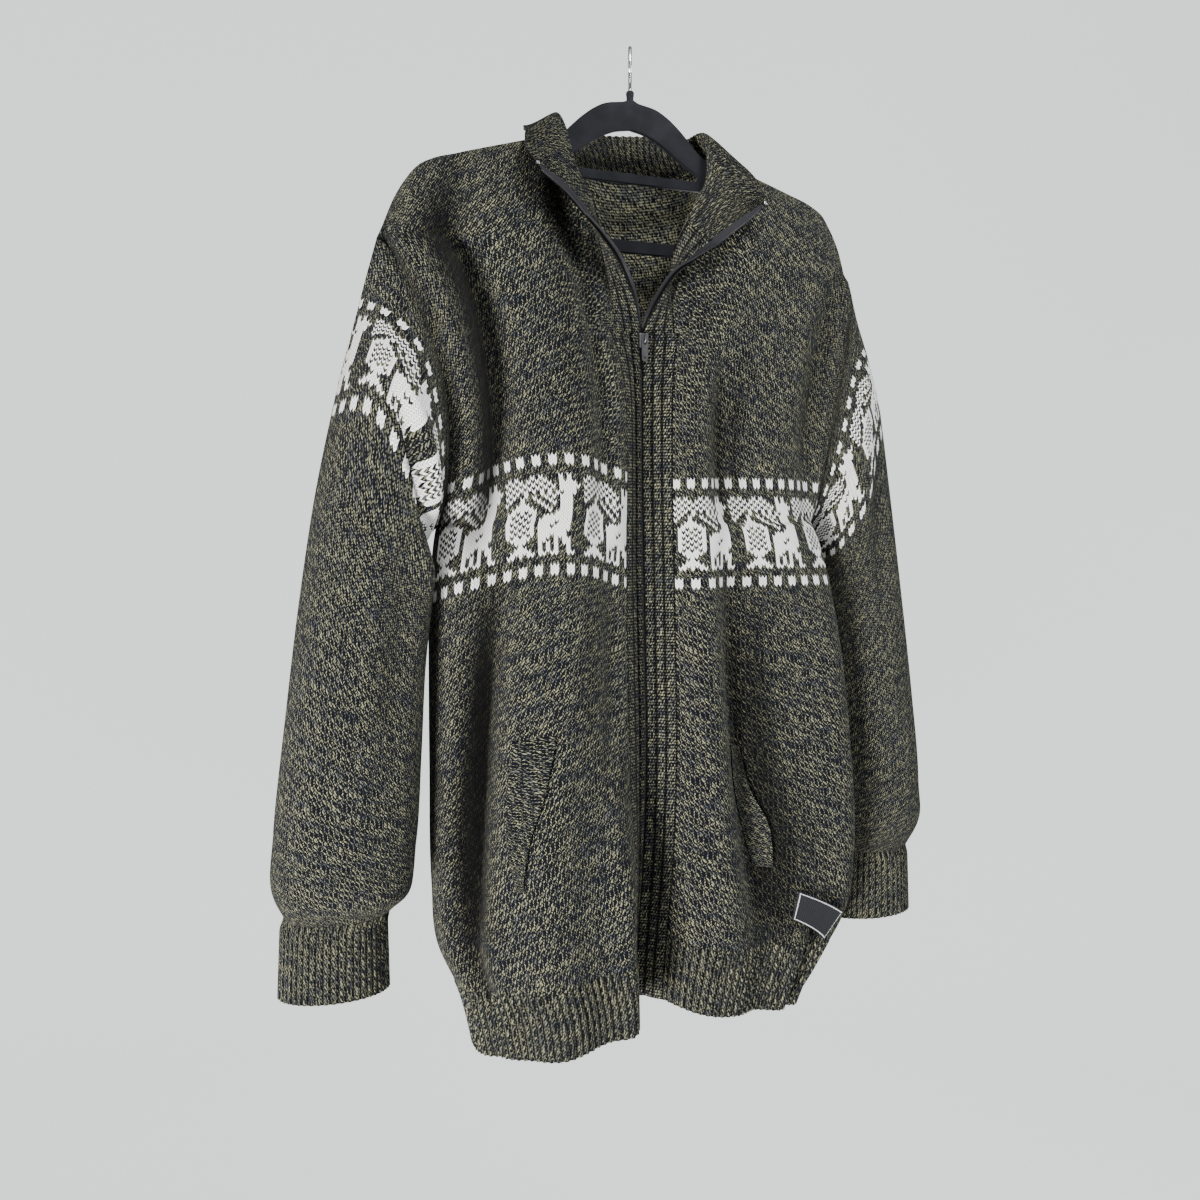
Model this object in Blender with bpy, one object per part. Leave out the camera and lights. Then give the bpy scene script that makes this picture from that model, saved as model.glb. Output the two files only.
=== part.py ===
import math
import bmesh
import bpy
import numpy as np

# Zip cardigan on a slim hanger, in metres. +Z up, the front faces -Y and the wearer's
# right side is -X. The origin is the inside top of the hanger's hook.
wall = 0.0028
gap = 0.0003
band_width = 0.030
slider_z = -0.2535
shoulder_x = 0.2266
shoulder_z = -0.187
underarm_x = 0.176
underarm_z = -0.420
neck_x = 0.080
rib_top_z = -0.778
rib_drop = 0.028
rib_height = 0.055

# Torso sections: height, half width on the wearer's right, half width on the left,
# front depth, back depth, zip x, zip y.
torso_sections = (
    (-0.08, 0.215, 0.215, 0.037, 0.034, 0.000, -0.022),
    (-0.19, 0.215, 0.215, 0.046, 0.038, 0.000, -0.022),
    (-0.30, 0.200, 0.200, 0.050, 0.044, 0.000, -0.022),
    (-0.42, 0.182, 0.188, 0.053, 0.048, 0.000, -0.024),
    (-0.52, 0.181, 0.191, 0.056, 0.050, 0.001, -0.026),
    (-0.62, 0.180, 0.196, 0.060, 0.052, 0.002, -0.027),
    (-0.72, 0.178, 0.203, 0.066, 0.054, 0.001, -0.021),
    (-0.77, 0.173, 0.200, 0.070, 0.056, 0.000, -0.015),
    (-0.81, 0.155, 0.180, 0.072, 0.056, 0.000, -0.010),
    (-0.88, 0.137, 0.146, 0.068, 0.052, 0.000, -0.006),
)

# Folds: place at top, place at foot (share of the width from the middle to the side),
# top height, foot height, outward reach, width as a share.
right_front_folds = (
    (0.17, 0.17, -0.27, -0.72, -0.006, 0.06),
    (0.42, 0.44, -0.16, -0.86, 0.013, 0.14),
    (0.70, 0.74, -0.12, -0.47, -0.024, 0.08),
    (0.94, 0.96, -0.16, -0.40, 0.010, 0.07),
    (0.74, 0.88, -0.47, -0.82, -0.020, 0.07),
    (0.66, 0.66, -0.58, -0.88, 0.010, 0.10),
    (0.15, 0.14, -0.64, -0.92, 0.020, 0.09),
    (0.81, 0.81, -0.76, -0.88, -0.012, 0.04),
)
left_front_folds = (
    (0.18, 0.18, -0.24, -0.70, 0.006, 0.10),
    (0.31, 0.39, -0.27, -0.82, -0.015, 0.07),
    (0.62, 0.66, -0.18, -0.80, 0.008, 0.16),
    (0.86, 0.84, -0.13, -0.42, -0.010, 0.06),
    (0.84, 0.82, -0.42, -0.84, 0.022, 0.12),
    (0.52, 0.54, -0.62, -0.90, 0.008, 0.09),
    (0.70, 0.70, -0.76, -0.88, -0.010, 0.05),
)
back_folds = (
    (-0.72, -0.66, -0.15, -0.62, -0.016, 0.07),
    (-0.44, -0.40, -0.30, -0.86, 0.012, 0.11),
    (-0.10, -0.16, -0.34, -0.84, -0.014, 0.08),
    (0.14, 0.18, -0.42, -0.88, 0.010, 0.10),
    (0.45, 0.42, -0.22, -0.74, -0.013, 0.08),
    (0.72, 0.70, -0.15, -0.55, -0.012, 0.07),
    (0.68, 0.72, -0.50, -0.86, 0.010, 0.09),
)

# Lapels: share from neck seam to slider, then the band's joined edge and the zip's edge.
right_lapel = (
    (0.00, -0.0560, -0.0400, -0.1434, -0.0693, -0.0620, -0.1660),
    (0.30, -0.0445, -0.0300, -0.1700, -0.0520, -0.0585, -0.1810),
    (0.55, -0.0350, -0.0250, -0.2000, -0.0330, -0.0510, -0.1990),
    (0.78, -0.0310, -0.0270, -0.2290, -0.0130, -0.0370, -0.2260),
    (1.00, -0.0295, -0.0300, -0.2535, 0.0000, -0.0220, -0.2535),
)
left_lapel = (
    (0.00, 0.0400, -0.0370, -0.1540, 0.0530, -0.0600, -0.1790),
    (0.30, 0.0300, -0.0300, -0.1800, 0.0330, -0.0590, -0.1930),
    (0.55, 0.0270, -0.0260, -0.2060, 0.0170, -0.0520, -0.2060),
    (0.78, 0.0280, -0.0270, -0.2310, 0.0060, -0.0380, -0.2290),
    (1.00, 0.0295, -0.0300, -0.2535, 0.0000, -0.0220, -0.2535),
)

# Collar, from the wearer's right zip end round to the left one: share of its length,
# neck seam, middle line and free edge.
collar_lines = (
    (0.00, (-0.0693, -0.0620, -0.1660), (-0.0880, -0.0640, -0.1490), (-0.1080, -0.0600, -0.1335)),
    (0.10, (-0.0560, -0.0400, -0.1434), (-0.0860, -0.0500, -0.1220), (-0.1160, -0.0520, -0.1180)),
    (0.20, (-0.0690, -0.0230, -0.1130), (-0.0740, -0.0260, -0.0890), (-0.1120, -0.0330, -0.1010)),
    (0.29, (-0.0800, 0.0000, -0.0868), (-0.0720, -0.0040, -0.0670), (-0.1010, -0.0080, -0.0860)),
    (0.37, (-0.0660, 0.0230, -0.0960), (-0.0640, 0.0290, -0.0720), (-0.0850, 0.0360, -0.0680)),
    (0.50, (0.0000, 0.0400, -0.1080), (0.0000, 0.0510, -0.0820), (0.0000, 0.0660, -0.0570)),
    (0.63, (0.0660, 0.0230, -0.0960), (0.0610, 0.0290, -0.0700), (0.0740, 0.0360, -0.0620)),
    (0.71, (0.0800, 0.0000, -0.0868), (0.0710, -0.0030, -0.0660), (0.1010, -0.0060, -0.0880)),
    (0.80, (0.0660, -0.0210, -0.1150), (0.0720, -0.0240, -0.0910), (0.1080, -0.0330, -0.1100)),
    (0.90, (0.0400, -0.0370, -0.1540), (0.0740, -0.0500, -0.1350), (0.1060, -0.0520, -0.1310)),
    (1.00, (0.0530, -0.0600, -0.1790), (0.0760, -0.0610, -0.1610), (0.0990, -0.0590, -0.1440)),
)

# Sleeves below the armhole seam: share of length, outer x, outer z, inner x, inner z,
# front reach, back reach.
right_sleeve_rings = (
    (0.06, 0.2360, -0.222, 0.186, -0.428, 0.058, 0.044),
    (0.14, 0.2460, -0.262, 0.196, -0.440, 0.064, 0.046),
    (0.24, 0.2590, -0.318, 0.198, -0.458, 0.056, 0.046),
    (0.36, 0.2740, -0.390, 0.196, -0.490, 0.050, 0.045),
    (0.50, 0.2870, -0.475, 0.194, -0.540, 0.047, 0.043),
    (0.66, 0.2990, -0.575, 0.194, -0.608, 0.046, 0.040),
    (0.82, 0.3080, -0.665, 0.198, -0.675, 0.045, 0.038),
    (0.94, 0.3090, -0.712, 0.206, -0.716, 0.042, 0.034),
    (1.00, 0.3000, -0.731, 0.220, -0.731, 0.030, 0.026),
)
left_sleeve_rings = (
    (0.06, 0.2360, -0.226, 0.188, -0.428, 0.050, 0.044),
    (0.14, 0.2440, -0.266, 0.200, -0.440, 0.048, 0.048),
    (0.24, 0.2560, -0.320, 0.206, -0.458, 0.042, 0.050),
    (0.36, 0.2700, -0.392, 0.207, -0.490, 0.036, 0.052),
    (0.50, 0.2830, -0.475, 0.208, -0.540, 0.034, 0.054),
    (0.66, 0.2970, -0.575, 0.213, -0.608, 0.032, 0.054),
    (0.82, 0.3060, -0.665, 0.220, -0.675, 0.032, 0.050),
    (0.94, 0.3040, -0.712, 0.216, -0.716, 0.030, 0.044),
    (1.00, 0.2920, -0.731, 0.213, -0.731, 0.026, 0.030),
)
cuff_height = 0.062
cuff_half_width = 0.041
cuff_half_depth = 0.028


def clear_scene():
    for item in list(bpy.data.objects):
        bpy.data.objects.remove(item, do_unlink=True)


def finish(name, colour, roughness, metallic=0.0):
    material = bpy.data.materials.new(name)
    material.use_nodes = True
    shader = material.node_tree.nodes["Principled BSDF"]
    shader.inputs["Base Color"].default_value = (*colour, 1.0)
    shader.inputs["Roughness"].default_value = roughness
    shader.inputs["Metallic"].default_value = metallic
    material.diffuse_color = (*colour, 1.0)
    return material


def flow(knots, values, t):
    """Smooth curve through the rows of values at the given knots."""
    knots = np.asarray(knots, float)
    values = np.asarray(values, float)
    t = np.clip(np.asarray(t, float), knots[0], knots[-1])
    slope = np.gradient(values, knots, axis=0)
    k = np.clip(np.searchsorted(knots, t, side="right") - 1, 0, len(knots) - 2)
    span = knots[k + 1] - knots[k]
    s = (t - knots[k]) / span
    if values.ndim > 1:
        s = s[..., None]
        span = span[..., None]
    low = (2 * s**3 - 3 * s**2 + 1) * values[k] + (s**3 - 2 * s**2 + s) * span * slope[k]
    high = (3 * s**2 - 2 * s**3) * values[k + 1] + (s**3 - s**2) * span * slope[k + 1]
    return low + high


def torso_row(z):
    rows = np.array(torso_sections)[::-1]
    return flow(rows[:, 0], rows[:, 1:], z)


def armhole(share, reach):
    """Point on the armhole seam: share 0 at the shoulder, 1 at the underarm."""
    share = np.clip(np.asarray(share, float), 0, 1)
    x = underarm_x + (shoulder_x - underarm_x) * (1 - share) ** 2.2
    y = reach * np.sin(math.pi * share) ** 0.55
    z = shoulder_z + (underarm_z - shoulder_z) * share
    return np.stack([x, y, z], -1)


def fold_height(folds, place, z):
    total = np.zeros_like(place)
    for top, foot, high, low, reach, width in folds:
        run = np.clip((high - z) / (high - low), 0, 1)
        centre = top + (foot - top) * run
        ends = np.clip(np.sin(math.pi * run), 0, 1) ** 0.8
        if low < -0.85:
            ends = np.clip(run * 3, 0, 1) ** 1.5
        total = total + reach * ends * np.exp(-(((place - centre) / width) ** 2))
    return total


def section(z, side, facing, folds):
    """Half of a level section, middle to side: points and their share of the width."""
    half_right, half_left, front, back, zip_x, zip_y = torso_row(z)
    half = half_right if side < 0 else half_left
    depth = front if facing < 0 else back
    share = (shoulder_z - z) / (shoulder_z - underarm_z)
    if share < 1:
        edge = armhole(max(share, 0), 0.048 if facing < 0 else 0.040)
        if share < 0:
            edge[0] = shoulder_x
    else:
        edge = np.array([half, 0.0, z])
        near = math.exp(-(share - 1) * 9)
        edge[0] = half + (underarm_x - 0.184) * near
    angle = np.linspace(0, math.pi / 2, 121)
    power = 2 / (2.8 + 1.8 * float(np.clip((z + 0.30) / 0.12, 0, 1)))
    x = edge[0] * np.sin(angle) ** power
    y = edge[1] + (depth - edge[1]) * np.cos(angle) ** power
    across = np.gradient(x)
    along = np.gradient(y)
    length = np.hypot(across, along) + 1e-9
    steps = np.hypot(np.diff(x), np.diff(y))
    place = np.concatenate([[0], np.cumsum(steps)])
    place = place / place[-1]
    rise = fold_height(folds, place if facing < 0 else place * side, np.full_like(place, z))
    hold = np.clip((1 - place) / 0.10, 0, 1)
    rise = rise * hold * hold * (3 - 2 * hold)
    x = x - along / length * rise
    y = y + across / length * rise
    if facing < 0:
        pull = np.exp(-((place / 0.13) ** 2))
        y = y + (-zip_y - y[0]) * pull
    steps = np.hypot(np.diff(x), np.diff(y))
    run = np.concatenate([[0], np.cumsum(steps)])
    shift = zip_x * np.exp(-((place / 0.2) ** 2)) if facing < 0 else 0.0
    return np.stack([x * side + shift, y * facing, np.full_like(x, z)], -1), run


def along_section(z, side, facing, folds, start, shares):
    points, run = section(z, side, facing, folds)
    want = start + (run[-1] - start) * np.asarray(shares)
    return np.stack([np.interp(want, run, points[:, k]) for k in range(3)], -1)


def shoulder_line(x):
    """Height of the shoulder seam over the hanger and past its end."""
    x = np.abs(x)
    knots = (0.06, 0.10, 0.16, 0.180, 0.192, 0.203, 0.214, shoulder_x)
    heights = (-0.0808, -0.0930, -0.1114, -0.1180, -0.1252, -0.1395, -0.1600, shoulder_z)
    return flow(knots, heights, x)


underarm_row = 0.396
row_shares = np.concatenate([
    (0.0, 0.0012, 0.0036, 0.0087, 0.020),
    np.linspace(0.045, underarm_row, 9),
    np.linspace(underarm_row, 1, 12)[1:],
])
underarm_index = 13


def neck_curve(share):
    knots = [row[0] for row in collar_lines]
    return flow(knots, [row[1] for row in collar_lines], share)


def top_edge(side, shares, back):
    """Neckline then shoulder seam, as points for the given shares of the width."""
    turn = 0.32 if back else 0.28
    shares = np.asarray(shares, float)
    inner = np.clip(shares / turn, 0, 1)
    outer = np.clip((shares - turn) / (1 - turn), 0, 1)
    first, last = (0.50, 0.29) if back else (0.10, 0.29)
    if side > 0:
        first, last = 1 - first, 1 - last
    neck = neck_curve(first + (last - first) * inner)
    x = neck_x + (shoulder_x - neck_x) * outer ** 1.08
    shoulder = np.stack([side * x, np.zeros_like(x), shoulder_line(x)], -1)
    return np.where((shares <= turn)[:, None], neck, shoulder), turn


def lapel_at(lapel, z):
    rows = np.array(lapel)
    share = np.interp(z, rows[::-1, 3], rows[::-1, 0])
    return flow(rows[:, 0], rows[:, 1:4], share), flow(rows[:, 0], rows[:, 4:7], share)


def panel(side, facing, folds, columns, lapel=None):
    """Mid surface of a front or of half the back, columns across and rows down."""
    top, turn = top_edge(side, columns, lapel is None)
    start = band_width if facing < 0 else 0.0
    foot = rib_top_z - rib_drop * columns
    grid = np.zeros((len(columns), len(row_shares), 3))
    for i, place in enumerate(columns):
        level = along_section(top[i, 2], side, facing, folds, start, [place])[0]
        over = np.clip((place - turn + 0.08) / 0.12, 0, 1)
        for j, share in enumerate(row_shares):
            z = top[i, 2] + (foot[i] - top[i, 2]) * share
            point = along_section(z, side, facing, folds, start, [place])[0]
            q = min(share / 0.25, 1)
            rounded = 1 - math.sqrt(max(0, 1 - (1 - q) ** 2))
            eased = (1 - q) ** 2 * (1 + 2 * q)
            grid[i, j] = point + (top[i] - level) * (eased * (1 - over) + rounded * over)
            grid[i, j, 2] = z
    if lapel is not None:
        near = np.exp(-((columns / 0.16) ** 2))
        rows = np.array(lapel)
        at_slider = along_section(slider_z, side, facing, folds, start, [0.0])[0]
        rest = rows[-1, 1:3] - at_slider[:2]
        for j in range(len(row_shares)):
            z = grid[0, j, 2]
            if z > slider_z:
                move = lapel_at(lapel, z)[0][:2] - grid[0, j, :2]
            else:
                move = rest * max(0, 1 - (slider_z - z) / 0.08) ** 2
            grid[:, j, :2] += near[:, None] * move
    z = grid[-1, :, 2]
    share = (shoulder_z - z) / (shoulder_z - underarm_z)
    seam = armhole(share, 0.048 if facing < 0 else 0.040)
    above = share <= 1.0001
    grid[-1, above, 0] = side * seam[above, 0]
    grid[-1, above, 1] = facing * seam[above, 1]
    return grid


def rib(side, facing, folds, columns, rows, start):
    grid = np.zeros((len(columns), len(rows), 3))
    for i, place in enumerate(columns):
        for j, share in enumerate(rows):
            z = rib_top_z - rib_drop * place - rib_height * share
            grid[i, j] = along_section(z, side, facing, folds, start, [place])[0]
    return grid


def grid_normals(grid, ring=False):
    across = np.roll(grid, -1, 0) - np.roll(grid, 1, 0) if ring else np.gradient(grid, axis=0)
    normal = np.cross(across, np.gradient(grid, axis=1))
    return normal / (np.linalg.norm(normal, axis=-1, keepdims=True) + 1e-12)


def unit(rows):
    return rows / (np.linalg.norm(rows, axis=-1, keepdims=True) + 1e-12)


def trim(grid, left=0.0, right=0.0, top=0.0, foot=0.0):
    """Pull the edges of a grid back along its own surface."""
    grid = grid.copy()
    edges = ((0, 0, 1, left), (0, -1, -2, right), (1, 0, 1, top), (1, -1, -2, foot))
    for axis, edge, inner, amount in edges:
        amount = np.atleast_1d(amount)[:, None]
        view = np.moveaxis(grid, axis, 0)
        view[edge] = view[edge] + unit(view[inner] - view[edge]) * amount
    return grid


def cloth(name, grid, material, normals=None, thick=wall, ring=False):
    """Closed wall about a mid surface, thick metres through."""
    if normals is None:
        normals = grid_normals(grid, ring)
    columns, rows = grid.shape[:2]
    vertices = np.concatenate([
        (grid + normals * thick / 2).reshape(-1, 3),
        (grid - normals * thick / 2).reshape(-1, 3),
    ])
    shift = columns * rows
    faces = []
    for i in range(columns if ring else columns - 1):
        n = (i + 1) % columns
        for j in range(rows - 1):
            a, b, c, d = i * rows + j, n * rows + j, n * rows + j + 1, i * rows + j + 1
            faces.append((a, b, c, d))
            faces.append((a + shift, d + shift, c + shift, b + shift))
            if j == 0:
                faces.append((b, a, a + shift, b + shift))
            if j == rows - 2:
                faces.append((d, c, c + shift, d + shift))
            if not ring and i == 0:
                faces.append((a, d, d + shift, a + shift))
            if not ring and i == columns - 2:
                faces.append((c, b, b + shift, c + shift))
    return solid(name, vertices, faces, material)


def solid(name, vertices, faces, material):
    """Closed mesh with its faces turned outward."""
    vertices = np.asarray(vertices, float)
    volume = 0.0
    for face in faces:
        for k in range(1, len(face) - 1):
            a, b, c = vertices[face[0]], vertices[face[k]], vertices[face[k + 1]]
            volume += float(np.dot(a, np.cross(b, c)))
    if volume < 0:
        faces = [tuple(reversed(face)) for face in faces]
    mesh = bpy.data.meshes.new(name)
    mesh.from_pydata(vertices.tolist(), [], faces)
    mesh.materials.append(material)
    mesh.update()
    item = bpy.data.objects.new(name, mesh)
    bpy.context.scene.collection.objects.link(item)
    return item


def share_edge(first, second):
    """Give two pieces one direction of wall along the seam that joins them."""
    both = unit(first + second)
    return both, both


def facing_out(grid, way, ring=False):
    """Wall directions of a grid, turned so that most of them follow way."""
    walls = grid_normals(grid, ring)
    return walls if np.sum(walls * way) > 0 else -walls


def sleeve_grid(side, table, front_seam, back_seam):
    """Rings from the armhole seam to the cuff; each starts at the shoulder, front first."""
    ring0 = np.concatenate([front_seam, back_seam[-2:0:-1]])
    count = len(ring0)
    half = len(front_seam) - 1
    linear = np.clip((shoulder_z - ring0[:, 2]) / (shoulder_z - underarm_z), 0, 1)
    rounded = (1 - np.cos(math.pi * linear)) / 2
    bulge = np.clip(np.sin(math.pi * linear), 0, 1) ** 0.8
    front = np.arange(count) < half
    shares = np.array((0.0, 0.035, 0.085, 0.15, 0.24, 0.35, 0.48, 0.61, 0.75, 0.89, 1.0))
    rows = np.array(((0.0, shoulder_x, shoulder_z, underarm_x, underarm_z, 0.048, 0.040),)
                    + table)
    shape = flow(rows[:, 0], rows[:, 1:], shares)
    grid = np.zeros((count, len(shares), 3))
    grid[:, 0] = ring0
    for j in range(1, len(shares)):
        out_x, out_z, in_x, in_z, front_y, back_y = shape[j]
        mix = min(shares[j] / 0.2, 1)
        along = linear * (1 - mix) + rounded * mix
        grid[:, j, 0] = side * (out_x + (in_x - out_x) * along)
        grid[:, j, 2] = out_z + (in_z - out_z) * along
        grid[:, j, 1] = np.where(front, -front_y, back_y) * bulge
    return grid


def tube(name, path, radius, material, sides=12):
    """Round bar along a path, flat at both ends."""
    path = np.asarray(path, float)
    radius = np.broadcast_to(np.asarray(radius, float), len(path))
    tangent = unit(np.gradient(path, axis=0))
    vertices = []
    normal = unit(np.cross(tangent[0], (0.31, 0.87, 0.05)))
    for point, way, size in zip(path, tangent, radius):
        normal = unit(normal - way * np.dot(normal, way))
        other = np.cross(way, normal)
        for k in range(sides):
            angle = 2 * math.pi * k / sides
            vertices.append(point + size * (math.cos(angle) * normal + math.sin(angle) * other))
    faces = []
    for j in range(len(path) - 1):
        for k in range(sides):
            n = (k + 1) % sides
            faces.append((j * sides + k, j * sides + n, (j + 1) * sides + n, (j + 1) * sides + k))
    faces.append(tuple(range(sides))[::-1])
    faces.append(tuple(range((len(path) - 1) * sides, len(path) * sides)))
    return solid(name, vertices, faces, material)


def plate(name, outline, holes, material, thick, middle_y=0.0, rounding=0.0):
    """Flat piece in the XZ plane with openings, thick metres along Y."""
    shape = bmesh.new()
    for loop in (outline, *holes):
        corners = [shape.verts.new((x, middle_y - thick / 2, z)) for x, z in loop]
        for k, corner in enumerate(corners):
            shape.edges.new((corner, corners[(k + 1) % len(corners)]))
    bmesh.ops.triangle_fill(shape, use_beauty=True, edges=shape.edges[:])
    grown = bmesh.ops.extrude_face_region(shape, geom=shape.faces[:])
    raised = [part for part in grown["geom"] if isinstance(part, bmesh.types.BMVert)]
    bmesh.ops.translate(shape, verts=raised, vec=(0, thick, 0))
    bmesh.ops.recalc_face_normals(shape, faces=shape.faces[:])
    mesh = bpy.data.meshes.new(name)
    shape.to_mesh(mesh)
    shape.free()
    mesh.materials.append(material)
    item = bpy.data.objects.new(name, mesh)
    bpy.context.scene.collection.objects.link(item)
    if rounding:
        bevel = item.modifiers.new("round", "BEVEL")
        bevel.width = rounding
        bevel.segments = 3
        bevel.limit_method = "ANGLE"
        bevel.angle_limit = math.radians(60)
    return item


def block(name, centre, size, material, round_edge=0.0):
    centre = np.array(centre)
    size = np.array(size) / 2
    corners = [(x, y, z) for x in (-1, 1) for y in (-1, 1) for z in (-1, 1)]
    vertices = [centre + size * np.array(corner) for corner in corners]
    faces = [(0, 1, 3, 2), (4, 6, 7, 5), (0, 4, 5, 1), (2, 3, 7, 6), (0, 2, 6, 4), (1, 5, 7, 3)]
    item = solid(name, vertices, faces, material)
    if round_edge:
        bevel = item.modifiers.new("round", "BEVEL")
        bevel.width = round_edge
        bevel.segments = 2
    return item


clear_scene()
knit = finish("olive_knit", (0.052, 0.052, 0.034), 0.95)
ribbed = finish("olive_rib", (0.050, 0.050, 0.033), 0.95)
velvet = finish("black_velvet", (0.018, 0.018, 0.021), 0.9)
chrome = finish("chrome_wire", (0.75, 0.76, 0.78), 0.18, 1.0)
tape_cloth = finish("grey_zip_tape", (0.085, 0.085, 0.095), 0.8)
gunmetal = finish("gunmetal", (0.16, 0.16, 0.165), 0.4, 0.9)
woven = finish("grey_woven", (0.06, 0.06, 0.066), 0.85)
silver = finish("silver_stop", (0.8, 0.8, 0.8), 0.25, 1.0)

front_columns = np.array((0, 0.07, 0.14, 0.21, 0.28, 0.38, 0.48, 0.58, 0.67, 0.76, 0.85, 0.93, 1.0))
back_columns = np.array((0, 0.11, 0.22, 0.32, 0.43, 0.54, 0.65, 0.76, 0.88, 1.0))
rib_rows = (0.0, 0.45, 1.0)
sides = (("right", -1, right_front_folds, right_lapel, right_sleeve_rings),
         ("left", 1, left_front_folds, left_lapel, left_sleeve_rings))

kept = {}

# Mid surfaces of the torso.
halves = [panel(side, 1, back_folds, back_columns) for side in (-1, 1)]
back = np.concatenate([halves[0][::-1], halves[1][1:]])
halves = [rib(side, 1, back_folds, back_columns, rib_rows, 0.0) for side in (-1, 1)]
back_rib = np.concatenate([halves[0][::-1], halves[1][1:]])
back_walls = facing_out(back, (0, 1, 0))
back_rib_walls = facing_out(back_rib, (0, 1, 0))
back_walls[:, -1], back_rib_walls[:, 0] = share_edge(back_walls[:, -1], back_rib_walls[:, 0])
back_walls[:, 0, 1] = np.where(np.abs(back[:, 0, 0]) > neck_x - 0.001, 0, back_walls[:, 0, 1])

for word, side, folds, lapel, rings in sides:
    front = panel(side, -1, folds, front_columns, lapel)
    foot = rib(side, -1, folds, front_columns, rib_rows, band_width)
    front_walls = facing_out(front, (0, -1, 0))
    foot_walls = facing_out(foot, (0, -1, 0))
    front_walls[:, -1], foot_walls[:, 0] = share_edge(front_walls[:, -1], foot_walls[:, 0])
    front_walls[4:, 0, 1] = 0
    end = 0 if side < 0 else -1
    below = slice(underarm_index + 1, None)
    front_walls[-1, below], back_walls[end, below] = share_edge(front_walls[-1, below],
                                                                back_walls[end, below])
    foot_walls[-1], back_rib_walls[end] = share_edge(foot_walls[-1], back_rib_walls[end])

    # Band along the zip, from the neck seam to the hem, with closer rows at the slider.
    joined = np.concatenate([front[0], foot[0, 1:]])
    joined_walls = np.concatenate([front_walls[0], foot_walls[0, 1:]])
    heights = np.concatenate([joined[:, 2], slider_z + np.array((0.022, 0.012, 0.005, 0, -0.014))])
    heights = np.unique(np.round(heights, 5))[::-1]
    heights = heights[np.concatenate([[True], np.diff(heights) < -0.0012])]
    heights[0], heights[-1] = joined[0, 2], joined[-1, 2]
    low_first = joined[::-1]
    joined = np.stack([np.interp(heights, low_first[:, 2], low_first[:, k])
                       for k in range(3)], -1)
    joined_walls = unit(np.stack([np.interp(heights, low_first[:, 2], joined_walls[::-1, k])
                                  for k in range(3)], -1))
    free = np.zeros_like(joined)
    for j, z in enumerate(heights):
        row = torso_row(z)
        free[j] = lapel_at(lapel, z)[1] if z > slider_z else (row[4], row[5], z)
    band = np.stack([joined, joined * 0.5 + free * 0.5, free])
    lean, neck_end = (0.10, 0.0) if side < 0 else (0.90, 1.0)
    for i, share in enumerate((0.0, 0.5, 1.0)):
        band[i, 0] = neck_curve(lean + (neck_end - lean) * share)
    band_walls = facing_out(band, (0, -1, 0))
    band_walls[0], _ = share_edge(joined_walls, band_walls[0])
    for piece, walls in ((front, front_walls), (foot, foot_walls)):
        walls[0] = unit(np.stack([np.interp(piece[0, :, 2], heights[::-1], band_walls[0, ::-1, k])
                                  for k in range(3)], -1))

    # Sleeve and cuff.
    back_edge = back[0] if side < 0 else back[-1]
    back_edge_walls = back_walls[0] if side < 0 else back_walls[-1]
    seam = underarm_index + 1
    sleeve = sleeve_grid(side, rings, front[-1, :seam], back_edge[:seam])
    sleeve_walls = facing_out(sleeve, sleeve - sleeve.mean(0), ring=True)
    ring_walls = np.concatenate([front_walls[-1, :seam], back_edge_walls[seam - 2:0:-1]])
    ring_walls[0] = (0, 0, 1)
    shared, sleeve_walls[:, 0] = share_edge(ring_walls, sleeve_walls[:, 0])
    front_walls[-1, :seam] = shared[:seam]
    back_edge_walls[1:seam - 1] = shared[:seam - 1:-1]
    back_edge_walls[0] = shared[0]
    back_edge_walls[seam - 1] = shared[seam - 1]
    last = sleeve[:, -1]
    cuff_top = np.array((side * (0.254 if side > 0 else 0.262), 0.0, last[0, 2]))
    angle = np.arctan2(last[:, 1] / 0.030, (last[:, 0] - last[:, 0].mean()) / 0.040)
    cuff = np.zeros((len(last), 3, 3))
    for j, share in enumerate((0.0, 0.15, 1.0)):
        wide = cuff_half_width + 0.002 * share
        deep = cuff_half_depth
        cuff[:, j, 0] = cuff_top[0] + wide * np.cos(angle)
        cuff[:, j, 1] = deep * np.sin(angle)
        cuff[:, j, 2] = last[:, 2] - gap - cuff_height * share
    cuff[:, 0] = last
    cuff_walls = facing_out(cuff, cuff - cuff.mean(0), ring=True)
    sleeve_walls[:, -1], cuff_walls[:, 0] = share_edge(sleeve_walls[:, -1], cuff_walls[:, 0])

    low = np.clip((sleeve[:, 0, 2] - underarm_z) / 0.05, 0, 1)
    ease = 0.0012 + 0.0034 * (1 - low) ** 2
    cloth("sleeve_" + word, trim(sleeve, top=ease, foot=gap / 2), knit, sleeve_walls, ring=True)
    cloth("cuff_" + word, trim(cuff, top=gap / 2), ribbed, cuff_walls, ring=True)
    cloth("front_" + word, trim(front, left=gap / 2, right=0.0004, top=gap / 2, foot=gap / 2),
          knit, front_walls)
    cloth("hem_rib_" + word, trim(foot, left=gap / 2, right=gap / 2, top=gap / 2), ribbed,
          foot_walls)
    ease = np.where(heights > slider_z - 0.006, 0.0013, gap / 2)
    cloth("zip_band_" + word, trim(band, left=ease, right=0.0028, top=gap), ribbed, band_walls)
    kept[word] = (front, front_walls, band, band_walls)

cloth("back", trim(back, left=0.0004, right=0.0004, top=gap / 2, foot=gap / 2), knit,
      back_walls)
cloth("hem_rib_back", trim(back_rib, left=gap / 2, right=gap / 2, top=gap / 2), ribbed,
      back_rib_walls)

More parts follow.
